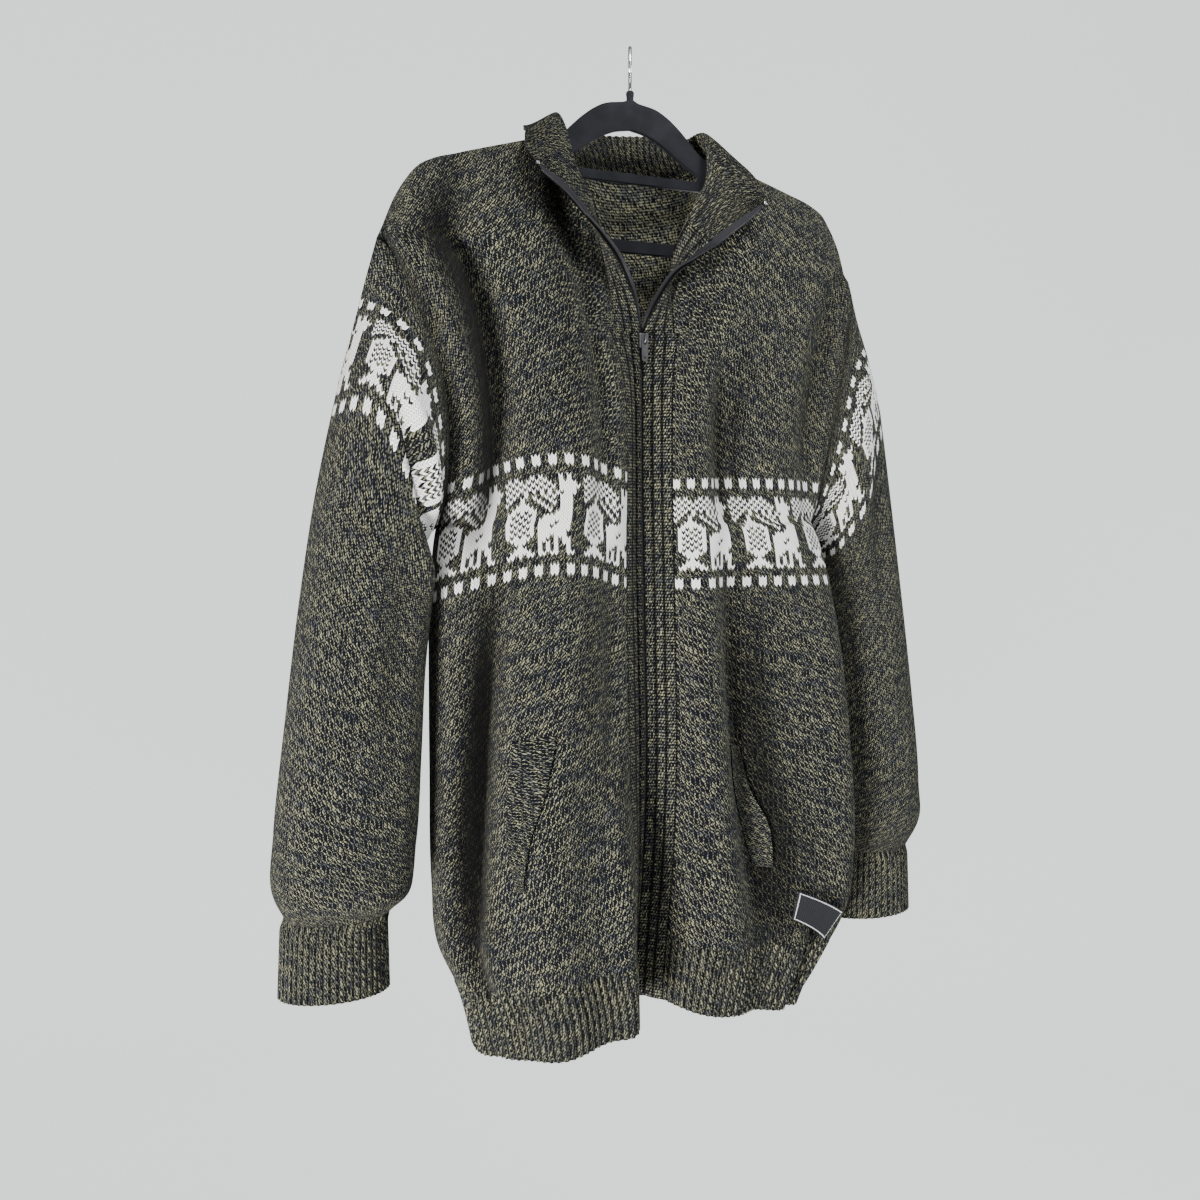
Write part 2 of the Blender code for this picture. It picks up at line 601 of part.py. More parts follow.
collar_places = np.linspace(0, 1, 23)
collar = np.zeros((len(collar_places), 4, 3))
knots = [row[0] for row in collar_lines]
lines = [flow(knots, [row[k] for row in collar_lines], collar_places) for k in (1, 2, 3)]
for j, share in enumerate((0.0, 0.35, 0.68, 1.0)):
    collar[:, j] = flow((0, 0.5, 1), lines, np.full(1, share))[0]
cloth("collar", trim(collar, top=0.0024), ribbed)


def laid_on(grid, walls, columns, shares, marks, lift, facing=-1):
    """Points above a panel at the given places across and shares down."""
    marks = np.asarray(marks, float)
    i = np.clip(np.searchsorted(columns, marks[..., 0], side="right") - 1, 0, len(columns) - 2)
    j = np.clip(np.searchsorted(shares, marks[..., 1], side="right") - 1, 0, len(shares) - 2)
    u = ((marks[..., 0] - columns[i]) / (columns[i + 1] - columns[i]))[..., None]
    v = ((marks[..., 1] - shares[j]) / (shares[j + 1] - shares[j]))[..., None]

    def mixed(rows):
        near = rows[i, j] * (1 - u) + rows[i + 1, j] * u
        far = rows[i, j + 1] * (1 - u) + rows[i + 1, j + 1] * u
        return near * (1 - v) + far * v

    way = unit(mixed(walls))
    way = way * np.sign(way[..., 1:2] * facing + 1e-9)
    return mixed(grid) + way * lift, way


# Pocket welts: slanted opening, then the inner edge; place across and share down.
welt_thick = 0.0016
welts = {
    "right": (((0.36, 0.715), (0.40, 0.777), (0.47, 0.830), (0.535, 0.885)),
              (0.16, 0.14, 0.09, 0.03)),
    "left": (((0.33, 0.755), (0.365, 0.803), (0.43, 0.853), (0.445, 0.905)),
             (0.03, 0.085, 0.12, 0.05)),
}
for word, (edge, widths) in welts.items():
    front, walls, band, band_walls = kept[word]
    places = np.linspace(0, 1, 10)
    line = flow(np.linspace(0, 1, len(edge)), edge, places)
    width = flow(np.linspace(0, 1, len(widths)), widths, places)
    out = 1.0 if word == "right" else -1.0
    marks = np.stack([line + np.stack([out * width * k, width * 0], -1)
                      for k in (0.0, 0.35, 0.7, 1.0)])
    lift = wall / 2 + gap + welt_thick / 2 + 0.0010
    spots, ways = laid_on(front, walls, front_columns, row_shares, marks, lift)
    cloth("pocket_welt_" + word, spots, ribbed, ways, thick=welt_thick)

# Blank woven patch by the hem on the wearer's left, its corners on the front.
corners = np.array(((0.53, 0.915), (0.72, 0.940), (0.69, 0.990), (0.50, 0.965)))
front, walls, band, band_walls = kept["left"]
across = np.linspace(0, 1, 7)[:, None, None]
down = np.linspace(0, 1, 4)[None, :, None]
marks = ((corners[0] * (1 - across) + corners[1] * across) * (1 - down)
         + (corners[3] * (1 - across) + corners[2] * across) * down)
spots, ways = laid_on(front, walls, front_columns, row_shares, marks, wall / 2 + 0.0042)
cloth("hem_label", spots, woven, ways, thick=0.0010)

# Zip tapes behind the edges of the bands, up to the top of the collar.
tape_thick = 0.0011
collar_walls = facing_out(collar, collar - np.array((0.0, 0.0, -0.09)))
for word, side, *rest in sides:
    front, walls, band, band_walls = kept[word]
    end, near = (0, 1) if side < 0 else (-1, -2)
    rise = collar[end, ::-1]
    inward = unit(collar[near, ::-1] - rise)
    face = collar_walls[end, ::-1]
    face = face * np.sign(np.sum(face[-1] * band_walls[-1, 0]))
    path = np.concatenate([rise[:-1], band[-1]])
    inward = np.concatenate([inward[:-1], unit(band[-2] - band[-1])])
    turn = 0.0055 / np.linalg.norm(band[-2] - band[-1], axis=-1, keepdims=True)
    far_face = unit(band_walls[-1] * (1 - turn) + band_walls[-2] * turn)
    far_face = np.concatenate([face[:-1], far_face])
    face = np.concatenate([face[:-1], band_walls[-1]])
    behind = wall / 2 + gap + tape_thick / 2 + 0.0013
    grid = np.stack([path + inward * (gap / 2) - face * behind,
                     path + inward * 0.0055 - far_face * behind])
    cloth("zip_tape_" + word, grid, tape_cloth, np.stack([face, far_face]), thick=tape_thick)
    top = path[0] + inward[0] * 0.0012 - face[0] * behind + unit(path[0] - path[1]) * 0.0045
    block("zip_top_stop_" + word, top, (0.0026, 0.0026, 0.0026), silver, 0.0005)

# Slider with its bridge, and the pull tab hung on it.
slider_middle = np.array((0.0, -0.0272, slider_z - 0.0070))
slider = block("zip_slider", slider_middle, (0.0084, 0.0030, 0.0128), gunmetal, 0.0007)
arch = [slider_middle + np.array((0, y, z)) for y, z in (
    (-0.0010, 0.0050), (-0.0032, 0.0046), (-0.0046, 0.0030), (-0.0046, -0.0002),
    (-0.0032, -0.0020), (-0.0010, -0.0024))]
bridge = tube("slider_bridge_form", arch, 0.0008, gunmetal, 8)
bridge.hide_render = True
bridge.display_type = "WIRE"
joining = slider.modifiers.new("bridge", "BOOLEAN")
joining.operation = "UNION"
joining.solver = "EXACT"
joining.object = bridge
hinge = slider_middle + np.array((0, -0.0028, 0.0008))


def ring_of(centre_x, centre_z, wide, high, count, power=1.0):
    points = []
    for k in range(count):
        angle = 2 * math.pi * k / count
        c, s = math.cos(angle), math.sin(angle)
        points.append((centre_x + wide * math.copysign(abs(c) ** power, c),
                       centre_z + high * math.copysign(abs(s) ** power, s)))
    return points


tab = plate("zip_pull_tab", ring_of(0, -0.0092, 0.0029, 0.0100, 24, 0.5),
            [ring_of(0, -0.0028, 0.0016, 0.0024, 12, 0.6), ring_of(0, -0.0155, 0.0013, 0.0013, 12)],
            gunmetal, 0.0010)
tab.location = hinge

foot_z = rib_top_z - rib_height + 0.0062
foot_row = torso_row(foot_z)
block("zip_box", (foot_row[4], foot_row[5] - 0.0010, foot_z), (0.0022, 0.0024, 0.0090),
      gunmetal, 0.0004)

# Hanger: one flat moulding with its arch, tie bar and trouser bar.
hanger_thick = 0.0054
half_outline = (
    (0.0025, -0.0440), (0.0060, -0.0462), (0.0120, -0.0477), (0.0180, -0.0487), (0.0243, -0.0505),
    (0.0360, -0.0580), (0.0470, -0.0670), (0.0580, -0.0765), (0.0660, -0.0838), (0.0780, -0.0903),
    (0.1000, -0.0972), (0.1200, -0.1032), (0.1600, -0.1157), (0.1740, -0.1212), (0.1800, -0.1265),
    (0.1820, -0.1320), (0.1795, -0.1375), (0.1710, -0.1430), (0.1660, -0.1520), (0.1600, -0.1680),
    (0.1510, -0.1770),
    (0.1400, -0.1795),
)
half_window = (
    (0.0, -0.0705), (0.0149, -0.0735), (0.0300, -0.0805), (0.0459, -0.0912), (0.0600, -0.1000),
    (0.0670, -0.1055), (0.0640, -0.1095),
)
half_opening = (
    (0.070, -0.1180), (0.082, -0.1130), (0.100, -0.1120), (0.125, -0.1195), (0.148, -0.1270),
    (0.1535, -0.1320), (0.1530, -0.1480), (0.1470, -0.1620), (0.1380, -0.1685),
)


def mirrored(points):
    return [*points, *[(-x, z) for x, z in reversed(points) if x > 1e-6]]


plate("hanger_frame", mirrored(half_outline), [mirrored(half_window), mirrored(half_opening)],
      velvet, hanger_thick, rounding=0.0022)


def turned(name, profile, material, sides=20):
    """Round piece about the vertical line through the origin, foot to top."""
    vertices = []
    for radius, z in profile:
        for k in range(sides):
            angle = 2 * math.pi * k / sides
            vertices.append((radius * math.cos(angle), radius * math.sin(angle), z))
    faces = [tuple(range(sides))[::-1], tuple(range((len(profile) - 1) * sides,
                                                    len(profile) * sides))]
    for j in range(len(profile) - 1):
        for k in range(sides):
            n = (k + 1) % sides
            faces.append((j * sides + k, j * sides + n, (j + 1) * sides + n, (j + 1) * sides + k))
    return solid(name, vertices, faces, material)


turned("hanger_ferrule", ((0.0031, -0.0437), (0.0033, -0.0410), (0.0036, -0.0392),
                          (0.0036, -0.0372), (0.0030, -0.0362)), velvet)

# Hook: upright, then round a circle, its plane turned edge-on to the picture's view.
wire = 0.0016
hook_inner = 0.0150
hook_turn = math.radians(64.6)
middle = hook_inner + wire
angles = np.radians(np.linspace(-38, 212, 26))
arc = [(middle * math.cos(a), -hook_inner + middle * math.sin(a)) for a in angles]
rise = [(0.0, -0.0359), (0.0, -0.0345), (0.0020, -0.0325), (0.0072, -0.0289)]
path = [(h * math.cos(hook_turn), h * math.sin(hook_turn), z) for h, z in rise + arc]
tube("hanger_hook", path, wire, chrome, 12)
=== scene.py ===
import math

import bmesh
import bpy
import numpy as np
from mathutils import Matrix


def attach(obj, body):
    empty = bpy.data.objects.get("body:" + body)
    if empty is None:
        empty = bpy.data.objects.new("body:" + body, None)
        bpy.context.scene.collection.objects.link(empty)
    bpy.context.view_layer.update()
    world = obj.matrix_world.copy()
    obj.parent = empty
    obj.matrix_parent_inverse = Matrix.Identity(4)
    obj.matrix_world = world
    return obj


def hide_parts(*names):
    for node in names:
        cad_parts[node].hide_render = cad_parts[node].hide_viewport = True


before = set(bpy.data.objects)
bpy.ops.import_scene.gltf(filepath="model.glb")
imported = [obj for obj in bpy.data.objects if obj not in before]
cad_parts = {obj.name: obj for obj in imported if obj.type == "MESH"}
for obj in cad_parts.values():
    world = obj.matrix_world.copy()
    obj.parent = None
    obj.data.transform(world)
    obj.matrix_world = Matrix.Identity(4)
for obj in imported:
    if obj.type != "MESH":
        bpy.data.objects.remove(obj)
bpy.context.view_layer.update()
print("frame loaded")


def addObject(name, data):
    item = bpy.data.objects.new(name, data)
    bpy.context.scene.collection.objects.link(item)
    return item


def meshPiece(name, points, faces, material, smooth=True):
    mesh = bpy.data.meshes.new(name)
    mesh.from_pydata(points.reshape(-1, 3).tolist(), [], faces)
    mesh.materials.append(material)
    mesh.polygons.foreach_set("use_smooth", np.full(len(mesh.polygons), smooth))
    mesh.update()
    return addObject(name, mesh)


# Camera: level, a little above the middle, 24 degrees round to the wearer's right.
view = {"place": (-0.4717, -0.9941, -0.416), "turn": -24.0, "lens": 37.2, "rise": -0.0667}
cameraData = bpy.data.cameras.new("view")
cameraData.lens = view["lens"]
cameraData.sensor_width = 36
cameraData.shift_y = view["rise"]
cameraData.clip_end = 40
camera = addObject("view", cameraData)
camera.location = view["place"]
camera.rotation_euler = (math.pi / 2, 0, math.radians(view["turn"]))
bpy.context.scene.camera = camera


def mathNode(operation):
    # A method that adds one Math node, with the wire in its first socket.
    return lambda wire, *others: wire.finish.node("ShaderNodeMath", {"operation": operation},
                                                  dict(enumerate((wire, *others))))


class Wire:
    # One output socket: arithmetic on it adds Math nodes to its finish.
    def __init__(self, finish, socket):
        self.finish = finish
        self.socket = socket

    __add__ = __radd__ = mathNode("ADD")
    __sub__ = mathNode("SUBTRACT")
    __mul__ = __rmul__ = mathNode("MULTIPLY")
    __truediv__ = mathNode("DIVIDE")
    __pow__ = mathNode("POWER")
    fract = mathNode("FRACT")
    floor = mathNode("FLOOR")
    size = mathNode("ABSOLUTE")
    sine = mathNode("SINE")
    above = mathNode("GREATER_THAN")
    most = mathNode("MAXIMUM")

    def __rsub__(self, other):
        return self.finish.node("ShaderNodeMath", {"operation": "SUBTRACT"}, {0: other, 1: self})

    def smooth(self, low, high):
        return self.finish.node("ShaderNodeMapRange", {"interpolation_type": "SMOOTHSTEP"},
                                {"Value": self, "From Min": low, "From Max": high})


class Finish:
    # A material, its Principled shader and one way to add any node.
    def __init__(self, name, roughness, **sockets):
        self.material = bpy.data.materials.new(name)
        self.material.use_nodes = True
        self.tree = self.material.node_tree
        self.shader = self.tree.nodes["Principled BSDF"]
        for key, value in {"Roughness": roughness, **sockets}.items():
            self.feed(value, self.shader.inputs[key.replace("_", " ")])

    def feed(self, value, socket):
        if isinstance(value, Wire):
            self.tree.links.new(value.socket, socket)
        elif isinstance(value, tuple):
            socket.default_value = (*value, 1)  # a colour
        else:
            socket.default_value = value

    def node(self, kind, settings=None, inputs=None, out=0):
        made = self.tree.nodes.new(kind)
        for key, value in (settings or {}).items():
            setattr(made, key, value)
        for key, value in (inputs or {}).items():
            self.feed(value, made.inputs[key])
        return Wire(self, made.outputs[out])

    def stitch(self):
        # The knit's own map: u counts stitches and v counts rows.
        split = self.tree.nodes.new("ShaderNodeSeparateXYZ")
        self.feed(self.node("ShaderNodeUVMap", {"uv_map": "stitch"}), split.inputs[0])
        return Wire(self, split.outputs[0]), Wire(self, split.outputs[1])

    def marks(self, name):
        return self.node("ShaderNodeAttribute", {"attribute_name": name}, {}, 2)

    def joined(self, x, y, z=0.0):
        return self.node("ShaderNodeCombineXYZ", {}, {"X": x, "Y": y, "Z": z})

    def noise(self, scale, detail=2.0, roughness=0.5, vector=None):
        # Over the object's own space, if no vector is given.
        vector = vector or self.node("ShaderNodeTexCoord", out=3)
        return self.node("ShaderNodeTexNoise", {}, {"Vector": vector, "Scale": scale,
                                                    "Detail": detail, "Roughness": roughness})

    def blend(self, share, first, second):
        return self.node("ShaderNodeMix", {"data_type": "RGBA"},
                         {0: share, 6: first, 7: second}, 2)

    def colour(self, value):
        self.feed(value, self.shader.inputs["Base Color"])

    def relief(self, height, distance, strength):
        bump = self.node("ShaderNodeBump", {}, {"Height": height, "Distance": distance,
                                                "Strength": strength})
        self.feed(bump, self.shader.inputs["Normal"])


def mottled(name, roughness, scale, detail, first, second, **sockets):
    # A finish whose colour wanders between two by fine noise.
    finish = Finish(name, roughness, **sockets)
    finish.colour(finish.blend(finish.noise(scale, detail), first, second))
    return finish


yarn = {
    "night": (0.004, 0.005, 0.0085), "slate": (0.068, 0.075, 0.088),
    "straw": (0.285, 0.282, 0.176), "ivory": (0.99, 0.985, 0.965),
    "ivoryShade": (0.93, 0.925, 0.905), "paintedRibShade": (0.006, 0.0065, 0.008),
    "groove": (0.004, 0.0045, 0.006), "relief": 0.0011,
    # Turns of the ply for each stitch, row, leg, cloud of noise and random share.
    "twist": (1.27, 0.44, 0.45, 2.5, 0.35),
}


def marl(finish, wale, course, random, leg, along, light):
    # Marled yarn: a light ply winds round a dark one, so its dash comes and goes from leg to leg,
    # nearly in step along a row. The dash is straw or slate by patches over the cloth. It is
    # lightest at the middle of each leg: the light ply together with a painted highlight on the
    # leg's crown.
    # painted highlight with the ply: the dash peaks at each leg's crown
    dash = 1 - (leg * 2 - 1).size() ** 1.6
    cloud = finish.noise(1.0, vector=finish.joined(wale * 0.11, course * 0.3))
    parts = (wale, course, along, cloud, random)
    turns = sum(part * share for part, share in zip(parts, yarn["twist"]))
    twist = (turns * (2 * math.pi)).sine()
    own = (random * 7.31).fract()
    tint = finish.blend((own * 0.5 + (cloud - 0.5) + 0.3).smooth(0.15, 0.85),
                        yarn["slate"], yarn["straw"])
    # light raises the light ply's share over a whole finish; on the inside it is painted light
    share = dash * 0.55 + twist * 0.42 + (random - 0.5) * 0.42 + (light - 0.125)
    return finish.blend(share.smooth(0.2, 0.86), yarn["night"], tint)


def stitched(name, rotate=False, patterned=False, purl=False, ribs=0.0, light=0.0, grooves=()):
    # Knit: every stitch is a V of two slanted legs, and a point belongs to the leg whose
    # slanted lane it lies in.
    finish = Finish(name, 0.92, Sheen_Weight=0.03, Sheen_Roughness=0.5, Specular_IOR_Level=0.08)
    u, v = finish.stitch()
    if rotate:
        u, v = v, u
    spread = (u.fract() * 2 - 1).size()  # 0 in the middle of a V, 1 between wales
    lane = v - spread  # legs rise a row to the wale's edge
    random = finish.node("ShaderNodeTexWhiteNoise", {"noise_dimensions": "3D"},
                         {"Vector": finish.joined((u * 2).floor(), lane.floor(), 1.0)})
    if purl:  # purl side: rows of short arcs
        lane = v + (spread * math.pi).sine() * 0.25
    leg = lane.fract()
    arch = 1 - (leg * 2 - 1) * (leg * 2 - 1)
    side = 1 - ((spread * 2 - 1).size() ** 3.0) * 0.8
    height = (arch ** 0.6) * (0.35 + side * 0.65)
    colour = marl(finish, u, v, random, leg, spread, light)
    if patterned:
        mine = (v.fract() - spread).above(0.0)  # this row's leg, or the next row's
        white = finish.marks("below") * (1 - mine) + finish.marks("here") * mine
        ivory = finish.blend(random * 0.5, yarn["ivory"], yarn["ivoryShade"])
        colour = finish.blend(white, colour, ivory)
    if ribs:
        valley = (1 - (((u - 0.5) / ribs).fract() * 2 - 1).size()).smooth(0.45, 0.95)
        height = height * (1 - valley * 0.55)
        # painted shade in the rib's valleys
        colour = finish.blend(valley * 0.38, colour, yarn["paintedRibShade"])
    for groove in grooves:  # where the band rolls or joins
        line = (1 - (u - groove).size() / 0.75).smooth(0.0, 0.9)
        height = height * (1 - line * 0.6)
        # darker colour along each groove: painted shade in the roll's crease, and dark lines at
        # the joins
        colour = finish.blend(line * 0.5, colour, yarn["groove"])
    # painted shade: the colour darkens in the gaps between the legs and wales, less on the white
    # yarn
    shade = height.smooth(0.18, 0.82) * 0.95 + 0.05
    if patterned:
        shade = shade * (1 - white * 0.36) + white * 0.36
        # painted shade: the colour darkens in the folds' hollows and beside the armhole
        shade = shade * (1 - finish.marks("paintedHollowShade") * 0.85)
    finish.colour(finish.node("ShaderNodeVectorMath", {"operation": "SCALE"},
                              {0: colour, "Scale": shade}))
    finish.relief(height, yarn["relief"], 0.9)
    return finish.material


knitCloth = stitched("marled_knit", patterned=True)
# painted light: the inside's yarn is made lighter by light=0.3
knitInside = stitched("marled_knit_inside", purl=True, light=0.3)
ribCloth = stitched("marled_rib", ribs=2.0, light=0.1)
bandCloth = stitched("marled_band", purl=True, light=0.03, grooves=(0.1, 3.2, 6.0, 8.9))
weltCloth = stitched("marled_welt", rotate=True)
print("knit finishes made")

sides = {"right": -1, "left": 1}  # the wearer's, with the sign of x
body = {
    "wall": 0.0024, "bandWidth": 0.03, "sliderZ": -0.2535,
    "shoulderX": 0.2266, "shoulderZ": -0.187, "underarmX": 0.176, "underarmZ": -0.42,
    "sideX": 0.184, "neckX": 0.08, "ribTopZ": -0.778, "ribDrop": 0.028, "ribHeight": 0.055,
    "armReach": {-1: 0.048, 1: 0.04},  # by facing: front, back
    "top": -0.05, "foot": -0.9,
    # In mm: height, half width right and left, front and back depth, zip x, zip y.
    "sections": (
        (-80, 215, 215, 37, 34, 0, -22), (-190, 215, 215, 46, 38, 0, -22),
        (-300, 200, 200, 50, 44, 0, -22), (-420, 182, 188, 53, 48, 0, -24),
        (-520, 181, 191, 56, 50, 1, -26), (-620, 180, 196, 60, 52, 2, -27),
        (-720, 178, 203, 66, 54, 1, -21), (-770, 173, 200, 70, 56, 0, -15),
        (-810, 155, 180, 72, 56, 0, -10), (-880, 137, 146, 68, 52, 0, -6),
    ),
}

# Folds: place at top, place at foot, top height, foot height, outward reach, width.
folds = {
    "right": [
        (0.27, 0.27, -0.13, -0.44, -0.01, 0.055), (0.39, 0.46, -0.15, -0.86, 0.013, 0.13),
        (0.68, 0.78, -0.11, -0.47, -0.033, 0.072), (0.92, 0.94, -0.16, -0.4, 0.01, 0.07),
        (0.66, 0.82, -0.45, -0.82, -0.032, 0.068), (0.2, 0.21, -0.43, -0.64, -0.009, 0.05),
        (0.52, 0.54, -0.58, -0.88, 0.006, 0.09), (0.15, 0.14, -0.64, -0.92, 0.02, 0.09),
        (0.81, 0.81, -0.76, -0.88, -0.005, 0.06),
    ],
    "left": [
        (0.18, 0.2, -0.24, -0.78, 0.009, 0.1), (0.37, 0.35, -0.25, -0.44, -0.014, 0.055),
        (0.33, 0.41, -0.43, -0.8, -0.02, 0.065), (0.62, 0.66, -0.18, -0.8, 0.008, 0.16),
        (0.86, 0.84, -0.13, -0.42, -0.01, 0.06), (0.84, 0.82, -0.42, -0.84, 0.022, 0.12),
        (0.47, 0.5, -0.6, -0.9, -0.012, 0.1), (0.72, 0.72, -0.72, -0.88, -0.01, 0.05),
    ],
    "back": [
        (-0.72, -0.66, -0.15, -0.62, -0.016, 0.07), (-0.44, -0.4, -0.3, -0.86, 0.012, 0.11),
        (-0.1, -0.16, -0.34, -0.84, -0.014, 0.08), (0.14, 0.18, -0.42, -0.88, 0.01, 0.1),
        (0.45, 0.42, -0.22, -0.74, -0.013, 0.08), (0.72, 0.7, -0.15, -0.55, -0.012, 0.07),
        (0.68, 0.72, -0.5, -0.86, 0.01, 0.09),
    ],
}

# Collar stations from its right end to its left: share; seam, middle and edge in mm.
collarLines = (
    (0, (-69.3, -62, -166), (-88, -64, -149), (-108, -60, -133.5)),
    (0.1, (-56, -40, -143.4), (-86, -50, -122), (-116, -52, -118)),
    (0.2, (-69, -23, -113), (-74, -26, -89), (-112, -33, -101)),
    (0.29, (-80, 0, -86.8), (-72, -4, -67), (-101, -8, -86)),
    (0.37, (-66, 23, -96), (-64, 29, -72), (-85, 36, -68)),
    (0.5, (0, 40, -108), (0, 51, -82), (0, 66, -57)),
    (0.63, (66, 23, -96), (61, 29, -70), (74, 36, -62)),
    (0.71, (80, 0, -86.8), (71, -3, -66), (101, -6, -88)),
    (0.8, (66, -21, -115), (72, -24, -91), (108, -33, -110)),
    (0.9, (40, -37, -154), (74, -50, -135), (106, -52, -131)),
    (1, (53, -60, -179), (76, -61, -161), (99, -59, -144)),
)

# Lapels: share from neck to slider; the band's joined edge and the zip's edge in mm.
lapels = {
    "right": (
        (0, -56, -40, -143.4, -69.3, -62, -166), (0.3, -44.5, -30, -170, -52, -58.5, -181),
        (0.55, -35, -25, -200, -33, -51, -199), (0.78, -31, -27, -229, -13, -37, -226),
        (1, -29.5, -30, -253.5, 0, -22, -253.5),
    ),
    "left": (
        (0, 40, -37, -154, 53, -60, -179), (0.3, 30, -30, -180, 33, -59, -193),
        (0.55, 27, -26, -206, 17, -52, -206), (0.78, 28, -27, -231, 6, -38, -229),
        (1, 29.5, -30, -253.5, 0, -22, -253.5),
    ),
}


def flow(knots, values, t):
    # Cubic curve through the rows of values at the knots, slopes from the neighbours.
    knots, values = np.asarray(knots, float), np.asarray(values, float)
    t = np.clip(np.asarray(t, float), knots[0], knots[-1])
    slope = np.gradient(values, knots, axis=0)
    k = np.clip(np.searchsorted(knots, t, side="right") - 1, 0, len(knots) - 2)
    span = knots[k + 1] - knots[k]
    s = (t - knots[k]) / span
    if values.ndim > 1:
        s, span = s[..., None], span[..., None]
    low = (2 * s**3 - 3 * s**2 + 1) * values[k] + (s**3 - 2 * s**2 + s) * span * slope[k]
    high = (3 * s**2 - 2 * s**3) * values[k + 1] + (s**3 - s**2) * span * slope[k + 1]
    return low + high


def soft(t):
    t = np.clip(t, 0, 1)
    return t * t * (3 - 2 * t)


def unit(rows):
    return rows / (np.linalg.norm(rows, axis=-1, keepdims=True) + 1e-12)


def torsoRow(z):
    rows = np.array(body["sections"])[::-1] / 1000
    return flow(rows[:, 0], rows[:, 1:], z)


def armShare(z):
    return (body["shoulderZ"] - z) / (body["shoulderZ"] - body["underarmZ"])


def armholePoint(share, facing):
    # Seam curve: x eases in from the shoulder, y bulges and closes at both ends, z runs down.
    share = np.clip(share, 0, 1)
    x = body["underarmX"] + (body["shoulderX"] - body["underarmX"]) * (1 - share) ** 2.2
    y = body["armReach"][facing] * np.sin(math.pi * share) ** 0.55
    z = body["shoulderZ"] + (body["underarmZ"] - body["shoulderZ"]) * share
    return np.stack([x, y, z], -1)


def foldRise(rows, place, z):
    # Long soft ridges: a bell across the width times an arch down the height. The folds
    # that reach the hem stay open there.
    total = 0
    for top, foot, high, low, reach, width in rows:
        run = np.clip((high - z) / (high - low), 0, 1)
        centre = top + (foot - top) * run
        ends = np.clip(np.sin(math.pi * run), 0, 1) ** 0.8
        if low < -0.85:
            ends = np.clip(run * 3, 0, 1) ** 1.5
        total = total + reach * ends * np.exp(-(((place - centre) / width) ** 2))
    return total


def paintedHollowShadeOf(rows, columns, grid, reach=0.024):
    # Share of painted shade: darkness painted into the inward folds, without the ridges, and
    # beside the armhole, where shade falls.
    troughs = [(*row[:5], row[5] * 1.5) for row in rows if row[4] < 0]
    z = grid[..., 2]
    depth = -foldRise(troughs, columns[:, None], z)
    byArmhole = soft((np.abs(columns[:, None]) - 0.9) / 0.08) * (z > body["underarmZ"] - 0.01)
    return np.maximum(soft(depth / reach), byArmhole * 0.6)


def runAcross(x, y):
    # Running length along each row of points.
    steps = np.hypot(np.diff(x, prepend=x[:, :1]), np.diff(y, prepend=y[:, :1]))
    return np.cumsum(steps, axis=1)


def sectionTable(side, facing, rows, start):
    # Level sections from the zip to the side: a superellipse quarter between the front's
    # middle and the side's edge, folds added along its normal, spaced by length.
    levels = np.linspace(body["top"], body["foot"], 426)
    z = levels[:, None]
    row = torsoRow(levels)
    half = row[:, 0] if side < 0 else row[:, 1]
    depth = (row[:, 2] if facing < 0 else row[:, 3])[:, None]
    share = armShare(levels)
    edge = armholePoint(share, facing)
    edge[share < 0, 0] = body["shoulderX"]
    low = share >= 1
    waist = (body["underarmX"] - body["sideX"]) * np.exp(-(share[low] - 1) * 9)
    edge[low, 0] = half[low] + waist
    edge[low, 1] = 0
    angle = np.linspace(0, math.pi / 2, 181)[None, :]
    power = 2 / (2.8 + 1.8 * np.clip((z + 0.3) / 0.12, 0, 1))
    x = edge[:, :1] * np.sin(angle) ** power
    y = edge[:, 1:2] + (depth - edge[:, 1:2]) * np.clip(np.cos(angle), 0, 1) ** power
    across = np.gradient(x, axis=1)
    along = np.gradient(y, axis=1)
    length = np.hypot(across, along) + 1e-9
    run = runAcross(x, y)
    place = run / run[:, -1:]
    rise = foldRise(rows, place if facing < 0 else place * side, z) * soft((1 - place) / 0.1)
    x = x - along / length * rise
    y = y + across / length * rise
    if facing < 0:  # the front's edge comes to the zip
        y = y + (-row[:, 5:6] - y[:, :1]) * np.exp(-((place / 0.13) ** 2))
    run = runAcross(x, y)
    shift = row[:, 4:5] * np.exp(-((place / 0.2) ** 2)) if facing < 0 else 0.0
    x, y = x * side + shift, y * facing
    want = start + (run[:, -1:] - start) * np.linspace(0, 1, 241)[None, :]
    return np.array([[np.interp(at, knots, line) for line in lines]
                     for at, knots, *lines in zip(want, run, x, y)]).transpose(0, 2, 1)


def between(grid, i, j):
    # Blend of the four nearest points at a fractional column and row.
    i = np.clip(i, 0, grid.shape[0] - 1.001)
    j = np.clip(j, 0, grid.shape[1] - 1.001)
    a, b = i.astype(int), j.astype(int)
    u, v = (i - a)[..., None], (j - b)[..., None]
    near = grid[a, b] * (1 - v) + grid[a, b + 1] * v
    far = grid[a + 1, b] * (1 - v) + grid[a + 1, b + 1] * v
    return near * (1 - u) + far * u


def onTable(table, z, place):
    # Point of the torso at a height and a share of the width.
    level = (body["top"] - z) / (body["top"] - body["foot"]) * (len(table) - 1)
    flat = between(table, level, place * (table.shape[1] - 1))
    return np.concatenate([flat, z[..., None]], -1)


def collarLine(k, share):
    # The collar's seam, middle or edge line (k = 1, 2, 3) at shares of its length.
    shares, lines = zip(*[(row[0], row[k]) for row in collarLines])
    return flow(shares, np.array(lines) / 1000, share)


def shoulderLine(x):
    knots = (0.06, 0.1, 0.16, 0.18, 0.192, 0.203, 0.214, body["shoulderX"])
    heights = (-0.0808, -0.093, -0.1114, -0.118, -0.1252, -0.1395, -0.16, body["shoulderZ"])
    return flow(knots, heights, np.abs(x))


